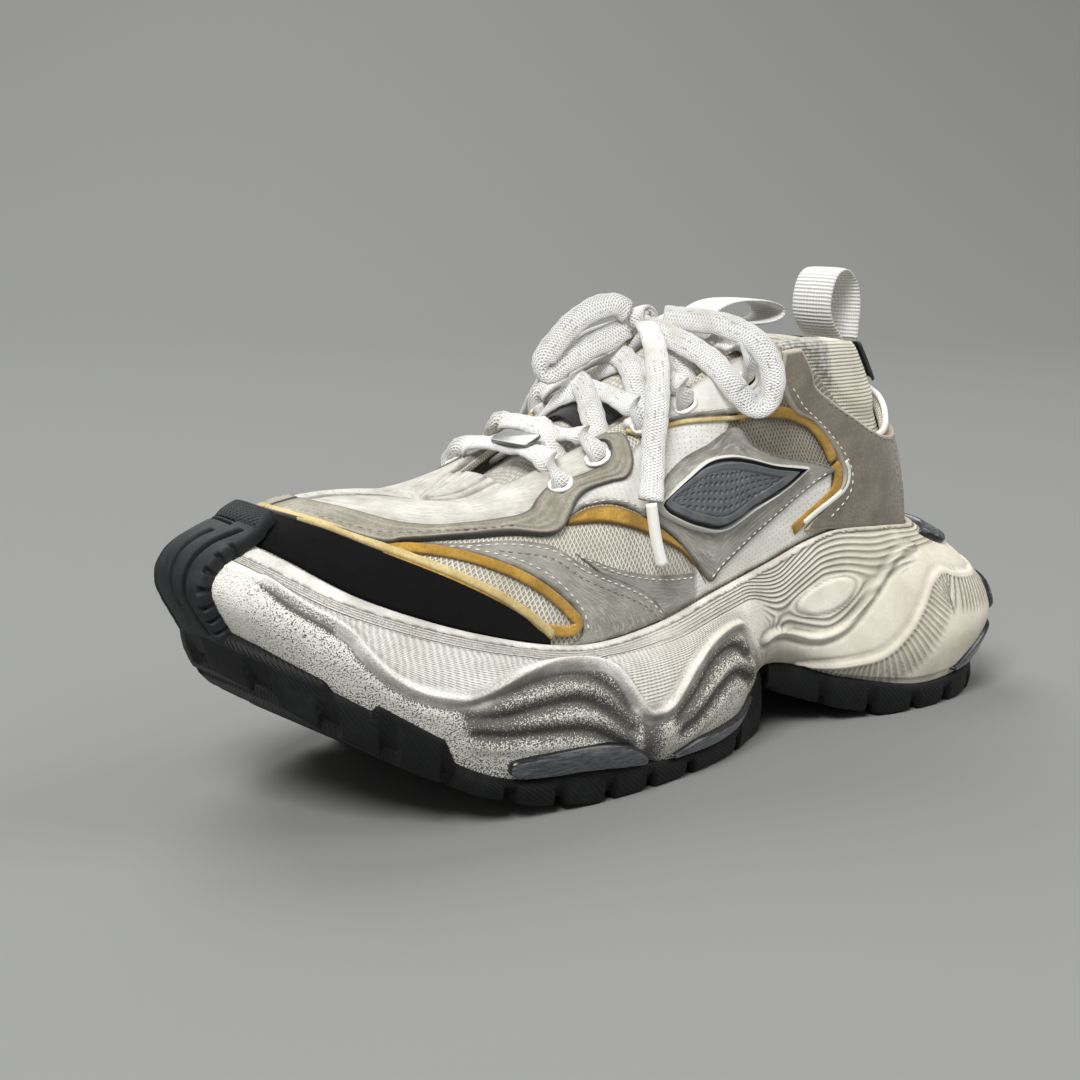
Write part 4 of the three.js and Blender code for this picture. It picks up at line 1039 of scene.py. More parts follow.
rounding = quarter_round(edge_gap, 1.6) * quarter_round(end_gap, 2.2)
height = BUMPER["thick"] * (0.1 + 0.9 * rounding)
# deep marks the grooves, slots and edge notches, which the finish paints near black as painted shade.
deep = 0 * a
for lane, bow_out, first, final in ((0.16, 0.10, 0.16, 0.80), (0.40, 0.10, 0.30, 0.72),
                                    (0.80, 0.05, 0.12, 0.84)):
    lane_at = lane + bow_out * np.sin(math.pi * (a - first) / (final - first))
    groove = np.exp(-(((b - lane_at) * BUMPER["width"]) ** 6))
    groove *= smooth((final - a) / 0.02) * smooth((a - first) / 0.02)
    height -= 2.0 * groove
    deep = np.maximum(deep, groove)
for start in (0.80, 0.835):
    slit = np.exp(-(((a - start) * BUMPER["long"]) ** 6))
    slit *= np.exp(-(((b - 0.56) * BUMPER["width"] / 6.5) ** 8))
    height -= 1.5 * slit
    deep = np.maximum(deep, slit)
for notch in np.arange(0.22, 0.7, 0.075):
    cut = np.exp(-(((a - notch) * BUMPER["long"] / 1.2) ** 6)) * smooth((side - 0.84) / 0.04)
    height -= 2.0 * cut
    deep = np.maximum(deep, 0.8 * cut)
knurled = smooth((a - 0.865) / 0.01) * smooth((0.985 - a) / 0.01) * smooth((0.9 - side) / 0.05)
points = spine[i, j] + ways[i, j] * height[:, None]
middle_line = spine[i, BUMPER_WIDE // 2]
points += (spine[i, j] - middle_line) * (width_here - 1)[:, None]
lay(bm, points, BUMPER["long"], BUMPER["width"], knurl=knurled, deep=np.clip(deep, 0, 1))
piece("toe_bumper", bm, bumper_rubber, "tread_rubber", ["outsole_forefoot"])

# Plastic inserts: glossy dark grey injection-moulded plates let into the foot of the foam, each
# with a thin black rim, and scratched by wear. They are pressed in and glued.
INSERTS = {
    "forefoot": ([(8.9, 0.16), (8.86, 0.5), (8.5, 0.85), (8.07, 1.02), (7.72, 0.9), (7.5, 0.5),
                  (7.46, 0.16)],
                 [(8.85, 0.1), (8.6, 0.1), (8.3, 0.1), (8.07, 0.1), (7.8, 0.1), (7.6, 0.1), (7.48, 0.1)]),
    "pod": ([(7.14, 0.16), (6.9, 0.42), (6.68, 0.52), (6.2, 0.47), (5.72, 0.32), (5.5, 0.16)],
            [(7.1, 0.1), (6.9, 0.1), (6.6, 0.1), (6.2, 0.1), (5.8, 0.1), (5.52, 0.1)]),
    "heel": ([(2.42, 0.16), (2.0, 0.5), (1.5, 0.7), (0.92, 0.62), (0.8, 0.32)],
             [(2.38, 0.1), (2.0, 0.13), (1.6, 0.3), (1.2, 0.3), (0.82, 0.28)]),
}
gloss, tree, skin = finish_called("glossy_grey_plastic", "4b5056", 0.3, Coat_Weight=0.35,
                                  Coat_Roughness=0.2)
rim_here = mark(tree, "rim")
scratch = speckle(tree, 5, 6, (1, 1, 6), 0.7)
cloud = tint(tree, steps(tree, scratch, 0.45, 0.7), "43474c", "7d8184")
paint(tree, skin, tint(tree, steps(tree, rim_here, 0.3, 0.7), cloud, "141517"))
gloss_from(tree, skin, scratch, 0.4, 0.7, 0.22, 0.5)


WALL_STRETCH = (1, 3.4)  # a whole level of the last is about as long as this many stations


def even(route, count, stretch=WALL_STRETCH, spaced=True):
    """Samples of a smooth line through stations and levels: evenly spaced, or evenly by point."""
    pts = np.array(route, float) * stretch
    if spaced:
        return through(pts, count)[0] / stretch
    ends = np.vstack([2 * pts[0] - pts[1], pts, 2 * pts[-1] - pts[-2]])
    t = np.linspace(0, len(pts) - 1, count)
    i = np.minimum(t.astype(int), len(pts) - 2)
    return bend(*(ends[i + k] for k in range(4)), (t - i)[:, None]) / stretch


def panel(surface, low, high, lift, columns=120, rows=14, roll=0.9, stretch=WALL_STRETCH, spaced=False,
          inner=False, blunt=(True, True), wave=None, base=-0.15):
    """A sheet between two lines of stations and levels, its rim rolled down over its own thickness.
    Returns the mesh, its points, their distance in mm from the rim, and the sheet's size."""
    ends = [even(e, columns + 1, stretch, spaced) for e in (low, high)]
    side = [off(surface, e[:, 0], e[:, 1], 0.0) for e in ends]
    width = np.linalg.norm(side[1] - side[0], axis=1)
    middle = (side[0] + side[1]) / 2
    run = np.concatenate([[0], np.cumsum(np.linalg.norm(np.diff(middle, axis=0), axis=1))])
    bm, a, b = grid(columns, rows)
    i, j = nth(a, columns), nth(b, rows)
    rim_steps = np.array([0, 0.12, 0.4, 1.0]) * roll
    k = len(rim_steps)
    near_edge = np.minimum(j, rows - j)
    inside = (near_edge - (k - 1)) / max(1, rows - 2 * (k - 1))
    edge_share = np.minimum(rim_steps[-1] / np.maximum(width[i], 0.01), 0.45)
    in_rim = near_edge < k
    share = np.where(in_rim, rim_steps[np.minimum(near_edge, k - 1)] / rim_steps[-1] * edge_share,
                     edge_share + inside * (1 - 2 * edge_share))
    share = np.where(j <= rows - j, share, 1 - share)
    spot = ends[0][i] * (1 - share)[:, None] + ends[1][i] * share[:, None]
    station = ROUND - spot[:, 0] if inner else spot[:, 0]
    across = np.minimum(share, 1 - share) * width[i]
    start = run[i] if blunt[0] else 0 * run[i] + 99
    to_end = run[-1] - run[i] if blunt[1] else 0 * run[i] + 99
    gap = np.minimum(np.minimum(across, start), to_end)
    height = lift * quarter_round(gap, roll) + base * (gap < 0.01)
    if wave is not None:
        height = height + wave(gap)
    points = off(surface, station, spot[:, 1], height)
    return bm, points, gap, (run[-1], width.max())


def plate(name, low, high, columns, inner=False):
    """A plate let into the foam, its rim blackened."""
    bm, points, gap, size = panel(sole_point, low, high, 2.7, columns, 16, 1.0, (1, 0.6), True, inner)
    lay(bm, points, *size, rim=(1 - smooth((gap - 0.3) / 0.9)))
    piece(f"insert_{name}_plate", bm, gloss, "insert_plastic", [f"insert_{name}"])


for name, (high, low) in INSERTS.items():
    plate(f"{name}_outer", low, high, 60)
    plate(f"{name}_inner", low, high, 60, True)


def whole(half, middle=0):
    """A line that ends in the shoe's middle, with its mirror image added."""
    return half + [(2 * middle - s, level) for s, level in reversed(half[:-1])]


HEEL_PLATES = {
    "top": ([(-2.1, 2.7), (-1.8, 2.4), (-1.2, 2.42), (0, 2.5)],
            [(-2.12, 2.84), (-1.8, 2.86), (-1.2, 2.86), (0, 2.86)]),
    "rear": ([(-1.4, 1.1), (-1.1, 0.8), (-0.6, 0.75), (0, 0.75)],
             [(-1.42, 1.18), (-1.1, 1.38), (-0.6, 1.5), (0, 1.55)]),
}
for name, (low, high) in HEEL_PLATES.items():
    plate(f"heel_{name}", whole(low), whole(high), 80)

# Upper: one sewn shell on the last. Its base is an open warp-knit mesh, white at the sides and
# brownish grey behind the ankle, lined with a thin knit. It is glued into the midsole's well.
mesh_cloth, tree, skin = finish_called("open_warp_knit_mesh", "dedcd3", 0.85, Sheen_Weight=0.2)
tone = mark(tree, "tone")
yarns = steps(tree, crossed(tree, 0.62, "MAXIMUM", 2.1, 0.5, 1), 0.45, 0.85)
yarn = speckle(tree, 0.8, 3)
grubby = speckle(tree, 16, 5, rough=0.6)
white_yarn = tint(tree, steps(tree, grubby, 0.4, 0.75), "ece8dc", "cdc6b4")
brown_yarn = tint(tree, steps(tree, grubby, 0.35, 0.7), "b3aa98", "958b79")
thread = tint(tree, tone, white_yarn, brown_yarn)
gap_white = tint(tree, tone, "a49f90", "6b6456")
knit = tint(tree, yarns, gap_white, thread)
paint(tree, skin, tint(tree, steps(tree, yarn, 0.55, 0.85), knit, "c3bda9"))
relief(tree, skin, yarns, 0.5, 1.0)
relief(tree, skin, yarn, 0.15, 0.6)

SHELL_COLUMNS = 480
OUTER_ROWS = 56
LINING = 14
rows = OUTER_ROWS + 4 + LINING
bm, a, b = grid(SHELL_COLUMNS, rows)
station = a * ROUND
row = nth(b, rows)
edge = shell_edge(station)
inside = np.clip(1 - (row - OUTER_ROWS - 4) / LINING, 0, 1) * THROAT
level = np.where(row <= OUTER_ROWS, row / OUTER_ROWS, inside)
level = np.where((row > OUTER_ROWS) & (row < OUTER_ROWS + 4), 1, level)
turn = np.clip((row - OUTER_ROWS) / 4, 0, 1)
depth = -WALL * turn
points = off(last_point, station, level * edge, depth)
points[:, 2] += 0.9 * np.sin(np.pi * turn)
tone_of = smooth((5.6 - fold(station)) / 0.3) * smooth((fold(station) - 2.9) / 0.2)
lay(bm, points, 760, 100, tone=tone_of)
piece("knit_mesh_upper", bm, mesh_cloth, "upper_shell", ["upper"])

# Insole: a sheet of foam covered with grey cloth, die cut to the last and laid loose in the well.
# Its rim turns down at the shell's inner wall.
insole_cloth, tree, skin = finish_called("insole_cloth", "b9b6ad", 0.95)
weave = speckle(tree, 0.8, 2)
paint(tree, skin, tint(tree, steps(tree, speckle(tree, 20, 4), 0.35, 0.7), "c4c1b8", "9a968c"))
relief(tree, skin, weave, 0.3, 0.8)
bm, a, b = grid(160, 24)
s_left = 0.001 + a * (TOE - 0.002)
left = off(last_point, s_left, 0, -(WALL + 1.6))
right = off(last_point, ROUND - s_left, 0, -(WALL + 1.6))
points = left * (1 - b)[:, None] + right * b[:, None]
points[:, 2] += 3.8 - 3.4 * np.clip(np.abs(b - 0.5) * 2 - 0.96, 0, 1) / 0.04
lay(bm, points, 280, 80)
piece("insole_sheet", bm, insole_cloth, "insole", ["insole"])

# Leather and felt overlays of the upper, die cut, laid flat and sewn. Shared places are stations
# and levels of the last, read on the outer side; the inner side is the same cut mirrored.


EDGE_WEAR = 2.2  # how far in from its cut edge a sheet is soiled or worn


def both_sides(name, low, high, lift, finish, slot, nodes=(), columns=120, rows=14, marks=None, **how):
    """The same cut on both sides of the shoe, for the CAD nodes named; a star stands for the side."""
    for side in ("outer", "inner"):
        inner = side == "inner"
        bm, points, gap, size = panel(last_point, low, high, lift, columns, rows, inner=inner, **how)
        lay(bm, points, *size, rim=1 - smooth((gap - 0.4) / EDGE_WEAR), **(marks(gap) if marks else {}))
        piece(f"{name}_{side}", bm, finish, slot, [n.replace("*", side) for n in nodes])


def leather(name, light, dark, worn_colour, grain_mm=1.6, roughness=0.62, scuff=(0.5, 0.7),
            rim_colour="6d6a64", holes=0.0):
    """Split leather: pebbled grain, cloudy wear and a darker cut edge."""
    mat, tree, skin = finish_called(name, light, roughness)
    where = own_map(tree)
    pebble = dots(tree, where, 10 / grain_mm)
    cloudy = speckle(tree, 15, 7, (1, 1, 1.6), 0.68)
    brushed = own_map(tree, 0.5, (1.2, 9, 1))
    streak = put(tree, "ShaderNodeTexNoise", {0: brushed, "Scale": 1.1, "Detail": 6,
                                              "Roughness": 0.7}).outputs[0]
    rim_here = mark(tree, "rim")
    base = tint(tree, steps(tree, cloudy, 0.36, 0.66), light, dark)
    base = tint(tree, steps(tree, streak, *scuff), base, worn_colour)
    if holes:
        punched = dots(tree, where, 10 / holes, 0)
        base = tint(tree, steps(tree, punched, 0.13, 0.08), base, "9b978e")
    edge_dirt = maths(tree, "MULTIPLY", rim_here, steps(tree, cloudy, 0.25, 0.6))
    paint(tree, skin, tint(tree, edge_dirt, base, rim_colour))
    gloss_from(tree, skin, streak, 0.3, 0.7, roughness - 0.12, roughness + 0.15)
    relief(tree, skin, pebble, 0.16, 0.7)
    relief(tree, skin, streak, 0.3, 0.6)
    return mat


def nap(name, light, dark, fuzz_mm=0.9, edge="5d574d", sheen=0.4):
    """Suede or felt: short brushed nap in cloudy shades, with a darker raw edge."""
    mat, tree, skin = finish_called(name, light, 0.95, Sheen_Weight=sheen, Sheen_Roughness=0.5,
                                    Specular_IOR_Level=0.2)
    cloudy = speckle(tree, 11, 6, rough=0.65)
    fuzz = speckle(tree, fuzz_mm, 4, rough=0.7)
    rim_here = mark(tree, "rim")
    base = tint(tree, steps(tree, cloudy, 0.35, 0.68), light, dark)
    base = tint(tree, steps(tree, fuzz, 0.42, 0.75), base, dark)
    paint(tree, skin, tint(tree, steps(tree, rim_here, 0.35, 1.0), base, edge))
    relief(tree, skin, fuzz, 0.3, 0.9)
    return mat


white_leather = leather("white_grain_leather", "f0eee8", "dddad1", "c9c5bb", 1.1, 0.5, (0.66, 0.85),
                        holes=1.9)
silver_leather = leather("worn_silver_leather", "aaa79e", "84817a", "d3d0c7", 1.4, 0.45, (0.5, 0.72),
                         "5d5a52")
wing_leather = leather("distressed_grey_leather", "a5a298", "85827a", "d0cdc3", 1.5, 0.55, (0.5, 0.72),
                       "5a574f")
foil_leather = leather("silver_foil_leather", "a9a79f", "8a887f", "c9c6bc", 1.6, 0.32, (0.5, 0.75),
                       "6d6a62")
flap_leather = leather("white_tumbled_leather", "f2f0ea", "e2dfd6", "c4c0b6", 2.2, 0.5, (0.68, 0.85))
eye_suede = nap("light_grey_suede", "b3ae9f", "857f70", edge="3f3b34")
counter_suede = nap("warm_grey_suede", "897f6f", "665e51", edge="b3ab9a")
yellow_felt = nap("ochre_felt", "cda047", "96722a", 1.1, "7d5f25", 0.3)
stay_leather = leather("worn_eyestay_leather", "cfccc3", "a6a298", "8b877c", 1.3, 0.6, (0.52, 0.7),
                       "5d5a52")
cream_felt = nap("cream_piping_felt", "dccb9a", "b79c5a", 0.8, "a08a52", 0.3)
black_felt = nap("black_wool_felt", "0b0b0c", "050506", 1.0, "050505", 0.03)


STITCH = {"pitch": 2.9, "long": 2.1, "thick": 0.55}


def stitches(name, route, lift, colour, inner):
    """A row of short thread stitches, each a small rounded bead pressed into the sheet."""
    flat = even(route, 20 * len(route))
    station = ROUND - flat[:, 0] if inner else flat[:, 0]
    line, length = through(off(last_point, station, flat[:, 1], lift), 400)
    count = max(2, int(length / STITCH["pitch"]))
    at = np.linspace(0.5, len(line) - 1.5, count).astype(int)
    normals = facing(last_point, np.interp(at, np.linspace(0, 399, len(station)), station),
                     np.interp(at, np.linspace(0, 399, len(station)), flat[:, 1]))
    bm = bmesh.new()
    for k, normal in zip(at, normals):
        ahead = Vector(unit(line[min(k + 1, 399)] - line[max(k - 1, 0)]))
        up = Vector(normal)
        side = up.cross(ahead).normalized()
        half = (ahead * STITCH["long"] / 2, side * STITCH["thick"] / 2, up * STITCH["thick"] / 2)
        turn = Matrix(half).transposed().to_4x4()
        bmesh.ops.create_icosphere(bm, subdivisions=1, radius=1,
                                   matrix=Matrix.Translation(Vector(line[k])) @ turn)
    bmesh.ops.scale(bm, vec=(0.001, 0.001, 0.001), verts=bm.verts)
    piece(name, bm, colour, "panel_leather", weld=0.0001)


white_thread, _, _ = finish_called("white_polyester_thread", "e6e3da", 0.7, Sheen_Weight=0.3)
grey_thread, _, _ = finish_called("grey_polyester_thread", "8f8b80", 0.7, Sheen_Weight=0.3)

low_edge = [(s, float(rim_level(s)[0]) + 0.004) for s in (8.28, 8.6, 9.2, 9.8, 10.4, 11.0, 11.6, 12, 12.4,
                                                          13, 13.6, 14.2, 14.8, 15.4, 15.72)]
toe_top = whole([(8.3, 0.185), (8.45, 0.225), (8.65, 0.265), (9.03, 0.325), (9.56, 0.38),
                 (10.2, 0.412), (11.15, 0.42), (12, 0.425)], TOE)
bm, points, gap, size = panel(last_point, low_edge, toe_top, 1.7, 360, 40, 1.1, spaced=True)
lay(bm, points, *size, rim=1 - smooth(gap / 1.2))
piece("toe_felt_panel", bm, black_felt, "toe_felt", ["toe_panel"])

WING_TOP = [(9.95, 0.50), (9.58, 0.515), (9.03, 0.545), (8.55, 0.53), (8.30, 0.50), (8.0, 0.44),
            (7.45, 0.35), (7.1, 0.28), (6.88, 0.21), (6.76, 0.15)]
WING_LOW = [(9.93, 0.49), (9.62, 0.485), (9.18, 0.462), (8.75, 0.42), (8.4, 0.365), (8.12, 0.30),
            (7.98, 0.25), (7.93, 0.21), (7.96, 0.18), (8.1, 0.155)]
both_sides("wing", WING_LOW, WING_TOP, 1.7, wing_leather, "wing_leather", ["wing_panel_*"], 160, 26)

QUARTER_LOW = [(8.2, 0.625), (7.89, 0.65), (7.5, 0.62), (7.0, 0.52), (6.56, 0.40), (6.28, 0.29),
               (6.05, 0.2)]
QUARTER_TOP = [(8.22, 0.645), (8.05, 0.70), (7.6, 0.75), (7.1, 0.80), (6.6, 0.85), (5.9, 0.82),
               (5.4, 0.76)]
both_sides("quarter", QUARTER_LOW, QUARTER_TOP, 1.1, white_leather, "panel_leather", [], 160, 26)

FOOT_LOW = [(6.3, 0.146), (5.8, 0.143), (5.2, 0.141), (4.6, 0.143), (3.9, 0.145)]
FOOT_TOP = [(6.32, 0.30), (5.78, 0.26), (5.1, 0.30), (4.46, 0.35), (3.7, 0.42)]
both_sides("lower_quarter", FOOT_LOW, FOOT_TOP, 0.9, white_leather, "panel_leather", [], 120, 16)

BADGE_LOW = [(7.1, 0.535), (6.65, 0.42), (6.35, 0.31), (6.03, 0.19), (5.78, 0.22), (4.9, 0.295),
             (4.2, 0.355), (3.66, 0.405)]
BADGE_TOP = [(7.12, 0.55), (6.75, 0.625), (6.35, 0.67), (5.9, 0.68), (5.35, 0.70), (5.05, 0.60),
             (4.37, 0.50), (3.65, 0.42)]
both_sides("badge_panel", BADGE_LOW, BADGE_TOP, 1.8, silver_leather, "panel_leather",
           ["side_panel_*"], 160, 30)

BAND_LOW = [(8.24, 0.595), (7.75, 0.572), (7.29, 0.512), (6.9, 0.44), (6.51, 0.355), (6.27, 0.27),
            (6.1, 0.19)]
BAND_TOP = [(8.2, 0.62), (7.89, 0.643), (7.5, 0.612), (7.0, 0.512), (6.56, 0.392), (6.28, 0.285),
            (6.08, 0.192)]
both_sides("ochre_band", BAND_LOW, BAND_TOP, 1.5, yellow_felt, "panel_leather", [], 140, 12)

FOIL_LOW = [(6.8, 0.15), (6.5, 0.148), (6.3, 0.146), (6.02, 0.144)]
FOIL_TOP = [(8.1, 0.485), (7.45, 0.385), (6.88, 0.315), (6.03, 0.23)]
both_sides("foil_wedge", FOIL_LOW, FOIL_TOP, 0.8, foil_leather, "panel_leather", [], 100, 14)

# Eyestay: worn white leather edges the throat, and a ribbon of light grey suede lies over its outer
# edge with two embossed lines. Both are die cut and sewn down; a flap of leather carries the upper eyelets.
STAY_EDGE = [
    (12, 0.405), (11.68, 0.41), (10.82, 0.42), (10.3, 0.435), (10.16, 0.475), (9.95, 0.505), (9.64, 0.54),
    (9.03, 0.572), (8.5, 0.56), (8.3, 0.575), (8.19, 0.62), (8.05, 0.68), (7.85, 0.71), (7.51, 0.705),
    (7.26, 0.695), (7.12, 0.74), (7.07, 0.82), (7.08, 0.90), (7.3, 0.955),
]
STAY_INNER = [
    (12, 0.56), (11.4, 0.56), (10.9, 0.56), (10.5, 0.57), (10.2, 0.585), (9.96, 0.60), (9.6, 0.63),
    (9.2, 0.655), (8.95, 0.665), (8.78, 0.69), (8.68, 0.74), (8.5, 0.79), (8.2, 0.80), (7.85, 0.80),
    (7.6, 0.80), (7.45, 0.83), (7.38, 0.87), (7.4, 0.92), (7.6, 0.96),
]
STAY_THROAT = [(s, THROAT) for s in (12, 11.4, 10.9, 10.5, 10.2, 9.96, 9.6, 9.2, 8.95, 8.78, 8.68, 8.5,
                                     8.2, 7.9, 7.75, 7.6, 7.5, 7.4, 7.2)]


def channel(gap):
    """Two embossed lines beside the ribbon's edge."""
    return -0.6 * np.exp(-(((gap - 2.6) / 0.6) ** 2)) - 0.6 * np.exp(-(((gap - 5.2) / 0.6) ** 2))


both_sides("eyestay_base", STAY_EDGE, STAY_THROAT, 1.5, stay_leather, "eyestay_suede", [], 220, 30)
both_sides("eyestay_ribbon", STAY_EDGE, STAY_INNER, 2.5, eye_suede, "eyestay_suede", ["eyestay"], 260, 22,
           wave=channel)

# In front of the lacing the leather closes as one bridge, with two embossed lines on each side.
columns, rows = 90, 48
bm, a, b = grid(columns, rows)
station = 9.0 + a * (TOE - 9.0)
half_way = np.abs(2 * b - 1)
left, right = (off(last_point, s, 0.96, 1.3) for s in (station, ROUND - station))
points = left * (1 - b)[:, None] + right * b[:, None]
lines_in = np.exp(-(((half_way - 0.42) / 0.06) ** 2)) + np.exp(-(((half_way - 0.72) / 0.06) ** 2))
points[:, 2] += 2.6 * (1 - half_way**2) - 0.7 * lines_in - 2.2 * (1 - smooth(a / 0.03))
lay(bm, points, 60, 30, rim=np.clip(0.7 * lines_in + 1 - smooth(a / 0.05), 0, 1))
piece("vamp_bridge", bm, stay_leather, "eyestay_suede")

FLAP_LOW = [(4.42, 0.965), (4.46, 0.85), (4.7, 0.765), (5.3, 0.75), (6.26, 0.835), (6.8, 0.865),
            (6.98, 0.92), (7.0, 0.965)]
FLAP_TOP = [(s, THROAT) for s in (4.5, 4.8, 5.1, 5.6, 6.2, 6.6, 6.85, 6.95)]
both_sides("tumbled_flap", FLAP_LOW, FLAP_TOP, 2.4, flap_leather, "flap_leather", ["eyelet_flap_*"],
           140, 18)

# Counter: warm grey suede, moulded round the heel and sewn, with an arm that runs up to the collar
# on each side. Its raw edge is worn lighter.
COUNTER_FRONT = [
    (4.4, 0.955), (4.48, 0.82), (4.3, 0.69), (3.98, 0.63), (3.74, 0.55), (3.58, 0.46), (3.55, 0.38),
    (3.7, 0.31), (3.95, 0.25), (4.3, 0.185), (3.5, 0.146), (2.3, 0.143), (1.1, 0.142), (0, 0.142),
]
COUNTER_REAR = [
    (4.04, 0.955), (3.86, 0.86), (3.8, 0.78), (3.5, 0.71), (3.26, 0.665), (3.0, 0.625), (2.8, 0.59),
    (2.6, 0.57), (2.4, 0.55), (2.0, 0.535), (1.5, 0.54), (1.0, 0.56), (0.5, 0.57), (0, 0.575),
]
both_sides("counter", COUNTER_FRONT, COUNTER_REAR, 2.4, counter_suede, "counter_suede",
           ["heel_counter"], 260, 34, blunt=(True, False))

# Piping: narrow strips of ochre and cream felt and of white leather, folded and sewn along the edges
# of the windows, the toe panel, the flaps and the heel.


def trim(name, route, width, thick, lift, finish, slot, inner=False, count=None, spaced=True):
    """A narrow strip lying on the last along stations and levels."""
    flat = even(route, count or 12 * len(route), spaced=spaced)
    station = ROUND - flat[:, 0] if inner else flat[:, 0]
    line = off(last_point, station, flat[:, 1], lift)
    bm, _, _ = ribbon(line, facing(last_point, station, flat[:, 1]), width, thick, 1.2)
    piece(name, bm, finish, slot)


WINDOW_FRONT = [
    (10.21, 0.425), (9.98, 0.462), (9.58, 0.472), (9.18, 0.452), (8.72, 0.402), (8.34, 0.335),
    (8.07, 0.265), (8.0, 0.235), (8.07, 0.212), (8.3, 0.215), (8.44, 0.228), (8.65, 0.28), (9.14, 0.34),
    (9.69, 0.385), (10.21, 0.42),
]
WINDOW_REAR = [(5.3, 0.735), (5.06, 0.735), (4.6, 0.705), (4.3, 0.675), (3.98, 0.62), (3.78, 0.54),
               (3.68, 0.455)]
FLAP_STRIP = [(4.6, 0.745), (5.3, 0.733), (6.26, 0.818), (6.8, 0.85), (7.02, 0.91)]
REAR_STRIP = [(3.66, 0.44), (3.63, 0.39), (3.74, 0.32), (4.05, 0.265), (4.5, 0.215)]
for inner in (False, True):
    side = "inner" if inner else "outer"
    trim(f"window_felt_{side}", WINDOW_FRONT, 3.6, 1.5, 0.9, yellow_felt, "panel_leather", inner)
    trim(f"rear_window_felt_{side}", WINDOW_REAR, 4.2, 1.4, 0.9, yellow_felt, "panel_leather", inner)
    trim(f"rear_felt_{side}", REAR_STRIP, 4.0, 1.6, 1.0, yellow_felt, "panel_leather", inner)
    trim(f"rear_piping_{side}", [(s - 0.17, l + 0.012) for s, l in REAR_STRIP], 2.2, 2.0, 1.5,
         flap_leather, "panel_leather", inner)
    trim(f"flap_piping_{side}", FLAP_STRIP, 1.6, 1.6, 1.3, cream_felt, "flap_leather", inner)
trim("toe_piping", [(s, l + 0.012) for s, l in toe_top], 3.0, 2.2, 1.4, cream_felt, "toe_felt", count=240)

HEEL_EDGE = whole([(3.15, 0.60), (2.7, 0.555), (2.3, 0.56), (1.9, 0.585), (1.4, 0.65), (0.9, 0.70),
                   (0.4, 0.735), (0, 0.745)])
trim("heel_edge_piping", [(s, l * 0.985) for s, l in HEEL_EDGE], 2.2, 2.2, 1.0, flap_leather,
     "panel_leather", count=160)
trim("heel_edge_felt", [(s, l - 0.035) for s, l in HEEL_EDGE], 3.2, 1.2, 0.8, yellow_felt,
     "panel_leather", count=160)

# Stitching: rows of white and grey polyester thread, sewn through the sheets beside their edges.
# Each stitch is a bead of its own, joined to its row.
SEAMS = {
    "wing_top": ([(s, l - 0.022) for s, l in WING_TOP[1:-1]], 1.8, white_thread),
    "wing_second": ([(s, l - 0.05) for s, l in WING_TOP[2:-1]], 1.8, grey_thread),
    "window_rim": ([(9.4, 0.497), (8.9, 0.47), (8.5, 0.42), (8.2, 0.355), (7.98, 0.28), (7.9, 0.22)], 1.8,
                   white_thread),
    "foil": ([(8.0, 0.462), (7.45, 0.37), (6.88, 0.3), (6.35, 0.245)], 0.95, white_thread),
    "badge_rear": ([(3.9, 0.40), (4.46, 0.348), (5.1, 0.295), (5.78, 0.24), (6.0, 0.21)], 1.85,
                   white_thread),
    "badge_top": ([(5.25, 0.665), (5.0, 0.585), (4.6, 0.525), (4.2, 0.477), (3.85, 0.437)], 1.85,
                  grey_thread),
    "flap": ([(4.75, 0.79), (5.3, 0.777), (6.26, 0.855), (6.75, 0.885)], 2.45, white_thread),
    "counter_front": ([(4.28, 0.78), (4.12, 0.70), (3.84, 0.62), (3.62, 0.54), (3.44, 0.45), (3.42, 0.37),
                       (3.56, 0.29), (3.85, 0.22)], 2.45, white_thread),
    "counter_top": ([(3.6, 0.70), (3.26, 0.645), (2.8, 0.57), (2.4, 0.53), (2.0, 0.515)], 2.45,
                    grey_thread),
    "counter_seam": ([(1.9, 0.16), (2.0, 0.26), (2.05, 0.36), (2.0, 0.46), (1.95, 0.51)], 2.45,
                     grey_thread),
    "quarter": ([(7.9, 0.66), (7.5, 0.635), (7.05, 0.55), (6.62, 0.42), (6.36, 0.32)], 1.15,
                white_thread),
    "eyestay": ([(s, l + 0.018) for s, l in [(9.0, 0.59), (9.6, 0.56), (10.0, 0.525), (10.5, 0.46),
                                             (11.2, 0.44)]], 2.5, grey_thread),
}
for name, (route, lift, colour) in SEAMS.items():
    for inner in (False, True):
        stitches(f"stitches_{name}_{'inner' if inner else 'outer'}", route, lift, colour, inner)

# Side badge: a plain moulded rubber plate, glued on the side panel, with a pale outline, a groove
# inside its raised rim and a field of small dimples. The groove is painted near black, as painted shade.
badge_rubber, tree, skin = finish_called("dark_badge_rubber", "53575a", 0.42, Specular_IOR_Level=0.5)
badge_groove_painted_shade = mark(tree, "groove")
outline_here = mark(tree, "outline")
field_here = mark(tree, "field")
badge_map = own_map(tree)
dimples = dots(tree, badge_map, 3.6, 0)
dimple = maths(tree, "MULTIPLY", steps(tree, dimples, 0.12, 0.34), field_here)
shade = tint(tree, steps(tree, speckle(tree, 8, 5), 0.4, 0.7), "575b5e", "6c6f70")
# The groove is painted near black: painted shade inside the rim.
shade = tint(tree, badge_groove_painted_shade, shade, "101112")
paint(tree, skin, tint(tree, outline_here, shade, "dddbd4"))
relief(tree, skin, dimple, 0.6, 1.0)
BADGE_BOTTOM = [(6.9, 0.545), (6.78, 0.50), (6.3, 0.405), (5.82, 0.35), (5.21, 0.37), (4.64, 0.395),
                (4.22, 0.44)]
BADGE_UPPER = [(6.86, 0.56), (6.4, 0.595), (5.98, 0.625), (5.6, 0.612), (5.3, 0.582), (4.79, 0.515),
               (4.2, 0.455)]


